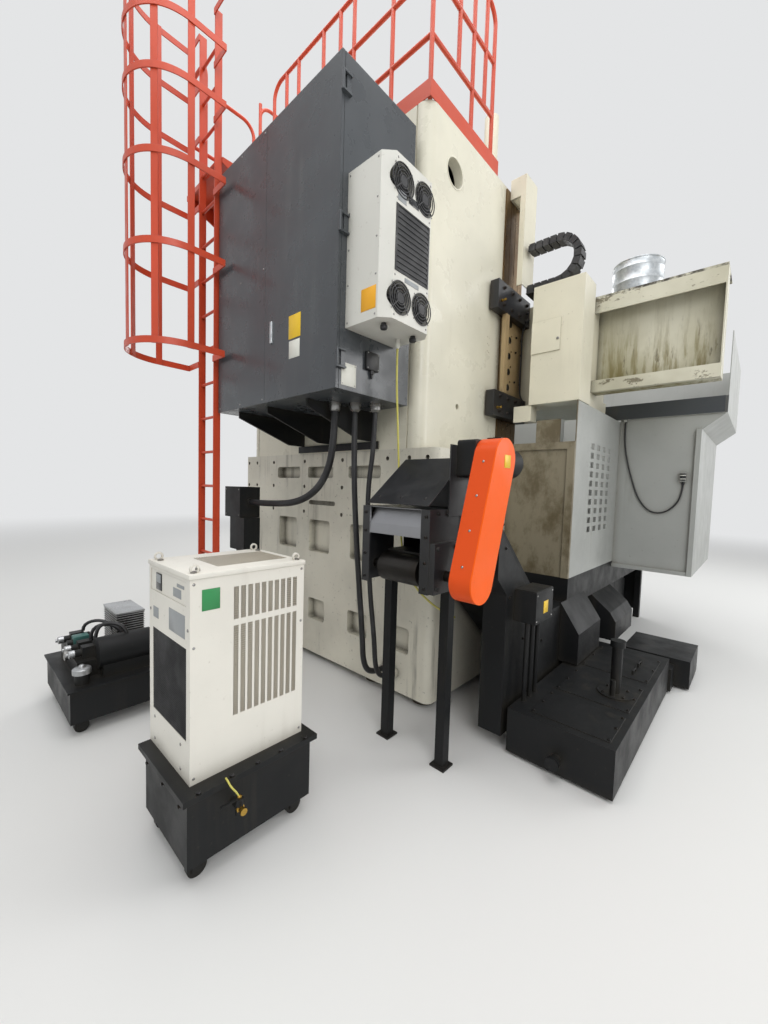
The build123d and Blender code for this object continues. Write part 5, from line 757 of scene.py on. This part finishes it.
# Crossrail clamps again: lubrication lines and keeper plugs
lines = Shape("clamp_lines", "rubber", "black_rubber", body="crossrail")
keeper_plugs = Shape("keeper_plugs", "dark_screw", "plate_steel", body="crossrail")
line_reach = keeper_face + 0.0145
for side, axis in ((-1, left), (1, right_side)):
    port, elbow = side * fitting_face, side * (fitting_face + 0.022)
    for y, top in ((1.088, 3.30), (1.106, 3.36), (1.124, 3.28)):
        out = side * (line_reach + 0.010 * math.sin(40 * y))
        lines.tube([(port, y, top), (elbow + side * 0.001, y, top - 0.01), (out, y + 0.004, top - 0.09),
                    (out, y - 0.005, 3.02), (out, y + 0.006, 2.76), (out, y, 2.58), (elbow, y, 2.50),
                    (port, y, 2.49)], 0.006, 10)
        lines.turned((port, y, top), axis, [(0.014, 0), (0.014, 0.014), (0.009, 0.018), (0.007, 0.024)], 10)
    for number in range(5):
        keeper_plugs.turned((side * plug_seat, clamp_low.y + 0.2783, clamp_low.z + 0.310 + 0.145 * number),
                            axis, [(0.030, 0), (0.030, 0.0015), (0.026, 0.0025), (0.023, 0.001), (0, 0.001)],
                            24)

# Guard box: the drum's zinc-coated sleeve with its beads
drum_place = (guard_high.x - 0.285, (guard_low.y + guard_high.y) / 2, guard_high.z)
inner, outer, bead = 0.1935, 0.2012, 0.2035
sleeve = Shape("drum_sleeve", "drum", "galvanised", drum_place, "crossrail")
sleeve.open_ring((0, 0, 0), above,
                 [(inner, -0.100), (outer, -drum_height), (outer, 0.080 - drum_height),
                  (bead, 0.084 - drum_height), (outer, 0.088 - drum_height), (outer, -0.064),
                  (bead, -0.060), (outer, -0.056), (outer, -0.008), (0.2055, -0.004), (0.2050, 0.003),
                  (0.2000, 0.004), (inner, 0.001)], 64)

# Wing: the connector at the cable's end, with two light bands, and the cable's nut
wing_end = wing_cable_route[-1]
Shape("wing_connector", "rubber", "black_plastic", wing_end).plate(
    (-0.023, 0.024, 0.012), (0.023, 0.040, 0.078), 0.004)
bands = Shape("wing_connector_bands", "pale_field", "panel_paint", wing_end)
for z in (0.022, 0.056):
    bands.plate((-0.0235, 0.0235, z), (0.0235, 0.0405, z + 0.008), 0.0015)
Shape("wing_cable_nut", "rubber", "black_plastic", wing_end).turned(
    (0, 0, 0), below, [(0.012, 0), (0.012, 0.020), (0.0095, 0.026), (0.008, 0.034)])

# Chiller: mesh in the vents, the lid, the filter, the control panel and its fields.
# The origin is its left rear lower corner
chiller = corner("chiller_housing", "-x", "+y", "-z")
wide, deep, tall = (side_of("chiller_housing", "+x") - chiller.x,
                    chiller.y - side_of("chiller_housing", "-y"),
                    side_of("chiller_housing", "+z") - chiller.z)
lid_level, lid_lip = tall - 0.038, 0.005
lid_top = lid_level + 0.0025
vent_y = inset((-deep, 0), 0.036, 0.180)
vent_count = 10
vent_pitch = (vent_y[1] - vent_y[0]) / vent_count
vent_half = 0.33 * vent_pitch
vents = Shape("chiller_vents", "vent", "chiller_paint", chiller)
for low_z, high_z in ((0.229, 0.629), (0.657, 0.800)):
    for number in range(vent_count):
        y = vent_y[0] + (number + 0.5) * vent_pitch
        for share in (-0.5, 0.0, 0.5):
            wire = y + share * vent_half
            vents.plate((0.0012, wire - 0.0011, low_z), (0.003, wire + 0.0011, high_z), 0.0004)
        vents.bars((0.001, y - vent_half, low_z), (0.0028, y + vent_half, high_z), 0.010, 0.0036)
Shape("chiller_lid", "chiller", "chiller_paint", chiller).plate(
    (-lid_lip, -deep - lid_lip, lid_level - 0.019), (wide + lid_lip, lid_lip, lid_top), 0.003)
top_mesh = Shape("chiller_top_mesh", "vent", "chiller_paint", chiller)
for number in range(30):
    y = 0.035 + 0.012 * number - deep
    top_mesh.plate((0.10, y, lid_level + 0.002), (wide - 0.10, y + 0.006, lid_level + 0.0045), 0.0008)
intake_x, intake_z = inset((0, wide), 0.035, 0.044), (0.176, 0.566)
intake = Shape("chiller_filter", "filter", "black_plastic", chiller)
intake.rear_plate(inset(intake_x, 0.001), -0.002, inset(intake_z, 0.001), 0, 0.0006, 0.0018)
intake.bars((intake_x[0] + 0.002, -0.0024, intake_z[0]), (intake_x[1] - 0.002, -0.0004, intake_z[1]),
            0.008, 0.0036)
panel_z = (0.740, 0.841)
Shape("chiller_display", "glossy_black", "black_plastic", chiller).rear_plate(
    (0.307, 0.372), 0, inset(panel_z, 0.012), 0.0005, 0.002, 0.004)
grey_fields = Shape("chiller_grey_fields", "grey_field", "chiller_paint", chiller)
for x, z in (((0.314, 0.365), inset(panel_z, 0.046, 0.018)), ((0.047, 0.217), (0.603, 0.700)),
             ((0.342, 0.407), (0.617, 0.667))):
    grey_fields.rear_plate(x, 0, z, 0.0012, sunk=0.001)
for x, z in (((0.092, 0.177), (0.758, 0.796)), ((0.062, 0.137), (0.804, 0.818))):
    grey_fields.rear_plate(x, 0, z, -0.0018, 0.0006, 0.004)
Shape("chiller_green_field", "green_field", "green_plastic", chiller).side_plate(
    0, (-0.124, -0.048), (0.720, 0.809), 0.0015)
chiller_screws = Shape("chiller_screws", "screw_steel", "ground_steel", chiller)
chiller_screws.screws(left, 0.006, [0], inset((-deep, 0), 0.016), (0.027, 0.575, 0.835))
chiller_screws.screws(rear, 0.007, (0.092, 0.392), [0], (0.140, 0.035))
chiller_screws.screws(rear, 0.007, (0.018, 0.441), [0], [0.647])
for x, y in product(inset((0, wide), 0.029, 0.065), inset((-deep, 0), 0.026)):
    chiller_screws.turned((x, y, lid_top), above,
                          [(0.014, 0), (0.014, 0.006), (0.007, 0.008), (0, 0.008)], 6)
for x in (0.060, 0.080):
    chiller_screws.turned((x, -0.060, lid_top), above,
                          [(0.006, 0), (0.006, 0.009), (0.004, 0.012), (0, 0.012)], 10)

# Chiller cart: the drain's fittings and line, and bolts. The origin is its left rear upper corner
cart = corner("chiller_cart", "-x", "+y", "+z")
cart_fittings = Shape("cart_fittings", "brass", "ground_steel", cart)
drain_port = (0.017, -0.215, -0.075)
cart_fittings.turned((0.017, -0.215, -0.115), left,
                     [(0.017, 0), (0.017, 0.012), (0.012, 0.014), (0.012, 0.030), (0.015, 0.032),
                      (0.015, 0.040), (0, 0.041)])
cart_fittings.turned(drain_port, above, [(0.010, 0), (0.010, 0.010), (0.006, 0.012), (0, 0.013)], 6)
cart_bolts = Shape("cart_bolts", "dark_screw", "ground_steel", cart)
for x, y in product((0.065, 0.567), (-0.585, -0.445, -0.325, -0.205, -0.065)):
    cart_bolts.turned((x, y, 0), above, [(0.011, 0), (0.011, 0.007), (0.009, 0.009), (0, 0.009)], 6)
for x in (0.127, 0.307, 0.497):
    cart_bolts.turned((x, -0.025, -0.060), rear,
                      [(0.012, 0), (0.012, 0.008), (0.007, 0.010), (0.007, 0.018), (0, 0.019)], 12)
Shape("cart_drain_line", "hose", "hose_plastic", cart).tube(
    [(0.065, -0.179, 0.004), (0.047, -0.177, 0.007), (0.035, -0.185, -0.020), (0.017, -0.210, -0.055),
     drain_port], 0.004)

# Hydraulic unit: cooler fins, filler, gauge, pipes and valves. The origin is its left near corner
unit = corner("hydraulic_unit", "-x", "-y")
fins = Shape("unit_cooler_fins", "alloy", "ground_steel", unit)
for number in range(17):
    z = 0.330 + 0.018 * number
    fins.plate((0.409, 0.069, z), (0.761, 0.261, z + 0.006), 0.001)
fins.plate((0.407, 0.067, 0.630), (0.763, 0.263, 0.646), 0.003)
filler = Shape("unit_filler", "alloy", "ground_steel", unit)
filler.turned((0.105, 0.535, 0.380), above,
              [(0.053, 0), (0.053, 0.030), (0.047, 0.036), (0.020, 0.040), (0.016, 0.052), (0.010, 0.056),
               (0, 0.056)], 28)
valve_xs = (0.270, 0.390, 0.630)
for x in valve_xs:
    filler.turned((x, 0.545, 0.460), rear,
                  [(0.026, 0), (0.026, 0.030), (0.020, 0.034), (0.012, 0.036), (0.012, 0.046), (0, 0.047)])
Shape("unit_teal_block", "teal", "black_paint", unit).plate(
    (0.472, 0.417, 0.418), (0.548, 0.511, 0.508), 0.004)
pipes = Shape("unit_pipes", "rubber", "black_rubber", unit)
for x, bend in zip(valve_xs, (0.62, 0.58, 0.55)):
    pipes.tube([(x, 0.425, 0.500), (x, 0.425, bend), (x - 0.05, 0.335, bend + 0.03),
                (x - 0.10, 0.255, bend - 0.02), (x - 0.10, 0.245, 0.420), (x - 0.10, 0.245, 0.312)], 0.012)
Shape("unit_gauge", "screw_steel", "ground_steel", unit).turned(
    (0.330, 0.550, 0.440), rear, [(0.008, 0), (0.008, 0.020), (0.030, 0.020), (0.032, 0.024),
                                  (0.032, 0.040), (0.027, 0.042), (0.025, 0.038), (0, 0.038)], 24)

# Tank: screws of the lid plates and the pump's flange. The origin is its left near corner
tank = corner("coolant_tank", "-x", "-y")
cover_level, flange_level, flange_reach = 0.301, 0.312, 0.088
tank_screws = Shape("tank_screws", "dark_screw", "ground_steel", tank)
for low_y, high_y in ((0.844, 1.384), (1.524, 1.944), (2.024, 2.364)):
    ys = [low_y + share * (high_y - low_y) for share in (0.06, 0.5, 0.94)]
    tank_screws.screws(above, 0.008, (0.181, 0.603), ys, [cover_level], socket)
for turn in corner_turns:
    tank_screws.screw((0.297 + flange_reach * math.cos(turn), 1.726 + flange_reach * math.sin(turn),
                       flange_level), above, 0.009, socket)

# Table: three screws in each jaw, by their reach from the axis and their drop below the jaw's top
jaw_top = side_of("jaw_1", "+z")
for number, turn in enumerate(corner_turns, 1):
    jaw_screws = Shape(f"jaw_screws_{number}", "dark_screw", "jaw_steel", body=f"jaw_body_{number}")
    for reach, drop, radius in ((0.600, 0, 0.019), (0.690, 0, 0.019), (0.495, 0.090, 0.016)):
        jaw_screws.screw((reach * math.cos(turn), reach * math.sin(turn), jaw_top - drop), above, radius,
                         socket)

# Pendant: the screen, the rows of keys and the screws. The origin is its lower left corner in front
pendant = corner("pendant_box", "-x", "-y", "-z")
pendant_wide = side_of("pendant_box", "+x") - pendant.x
Shape("pendant_screen", "glossy_black", "black_plastic", pendant, "pendant").plate(
    (0.065, 0.0015, 0.264), (0.355, 0.005, 0.496), 0.003)
keys = Shape("pendant_keys", "grey_field", "panel_paint", pendant, "pendant")
key_size, key_pitch = 0.022, 0.030
for column, row in product(range(9), range(2)):
    x, z = 0.075 + key_pitch * column, 0.175 + key_pitch * row
    keys.plate((x, -0.0035, z), (x + key_size, 0.0005, z + key_size), 0.003)
pendant_screws = Shape("pendant_screws", "screw_steel", "ground_steel", pendant, "pendant")
pendant_screws.screws(near_side, 0.005, inset((0, pendant_wide), 0.014), [0], (0.015, 0.535))

# All the details are placed together
for shape in shapes:
    shape.place()

# Floor, lights and camera. The floor fades into the backdrop, and only light rays see the dimmer sky
backdrop_light = {"Color": (228, 229, 230), "Strength": 1.0}
floor_reach, fade_from, fade_to = 40.0, 7.0, 20.0
floor_mesh = bpy.data.meshes.new("floor")
floor_mesh.from_pydata([(-floor_reach, -floor_reach, 0), (floor_reach, -floor_reach, 0),
                        (floor_reach, floor_reach, 0), (-floor_reach, floor_reach, 0)], [], [(0, 1, 2, 3)])
floor = bpy.data.objects.new("floor", floor_mesh)
bpy.context.scene.collection.objects.link(floor)
finish = Finish("floor")
finish.set(Base_Color=(222, 222, 220), Roughness=0.65)
distance = finish.node("ShaderNodeVectorMath", {0: finish.place}, operation="LENGTH")
far = finish.between(distance.outputs["Value"], fade_from, fade_to)
rays = finish.node("ShaderNodeLightPath").outputs
seen = finish.plus(finish.plus(rays["Is Camera Ray"], rays["Is Glossy Ray"]), rays["Is Transmission Ray"])
haze = finish.node("ShaderNodeEmission", backdrop_light)
finish.blend(finish.times(far, seen), finish.surface, haze, "Material Output")
floor_mesh.materials.append(finish.material)

middle = Vector((-0.3, 1.5, 2.2))


def area_light(name, place, size, power):
    """A square soft light that looks at the middle of the machine."""
    lamp = bpy.data.lights.new(name, "AREA")
    lamp.shape = "RECTANGLE"
    lamp.size = lamp.size_y = size
    lamp.energy = power
    holder = bpy.data.objects.new(name, lamp)
    bpy.context.scene.collection.objects.link(holder)
    holder.location = place
    holder.rotation_mode = "QUATERNION"
    holder.rotation_quaternion = (middle - Vector(place)).to_track_quat("-Z", "Y")


area_light("overhead", (-1.0, 3.0, 10.0), 9, 620)
area_light("rear_left", (-8.5, 8.0, 6.5), 5, 330)
area_light("front_right", (8.0, -7.0, 6.0), 6, 420)
area_light("front_left", (-8.0, -5.0, 5.0), 5, 300)

world = bpy.data.worlds.new("studio")
bpy.context.scene.world = world
world.use_nodes = True
studio = Nodes(world.node_tree)
sky = studio.tree.nodes["Background"]
sky.inputs["Color"].default_value = (0.93, 0.94, 0.95, 1)
sky.inputs["Strength"].default_value = 0.50
backdrop = studio.node("ShaderNodeBackground", backdrop_light)
rays = studio.node("ShaderNodeLightPath").outputs
seen = rays["Is Camera Ray"]
for kind in ("Is Glossy Ray", "Is Transmission Ray"):
    seen = studio.node("ShaderNodeMath", {0: seen, 1: rays[kind]}, operation="MAXIMUM").outputs[0]
studio.blend(seen, sky, backdrop, "World Output")

camera_place = Vector((-3.0365, 4.9853, 1.650))
camera_yaw = math.radians(42.6)
camera_pitch = math.radians(-3.4)
camera_roll = math.radians(-1.7)
level_ahead = Vector((math.sin(camera_yaw), -math.cos(camera_yaw), 0))
level_right = Vector((-math.cos(camera_yaw), -math.sin(camera_yaw), 0))
upright = Vector((0, 0, 1))
ahead = level_ahead * math.cos(camera_pitch) + upright * math.sin(camera_pitch)
pitched_up = upright * math.cos(camera_pitch) - level_ahead * math.sin(camera_pitch)
right = level_right * math.cos(camera_roll) - pitched_up * math.sin(camera_roll)
up = pitched_up * math.cos(camera_roll) + level_right * math.sin(camera_roll)
camera_data = bpy.data.cameras.new("camera")
camera_data.lens = 14.4
camera_data.sensor_width = 36.0
camera_data.clip_start = 0.05
camera_data.clip_end = 200
camera = bpy.data.objects.new("camera", camera_data)
bpy.context.scene.collection.objects.link(camera)
camera.matrix_world = Matrix.Translation(camera_place) @ Matrix((right, up, -ahead)).transposed().to_4x4()
bpy.context.scene.camera = camera
bpy.context.scene.view_settings.view_transform = "Standard"
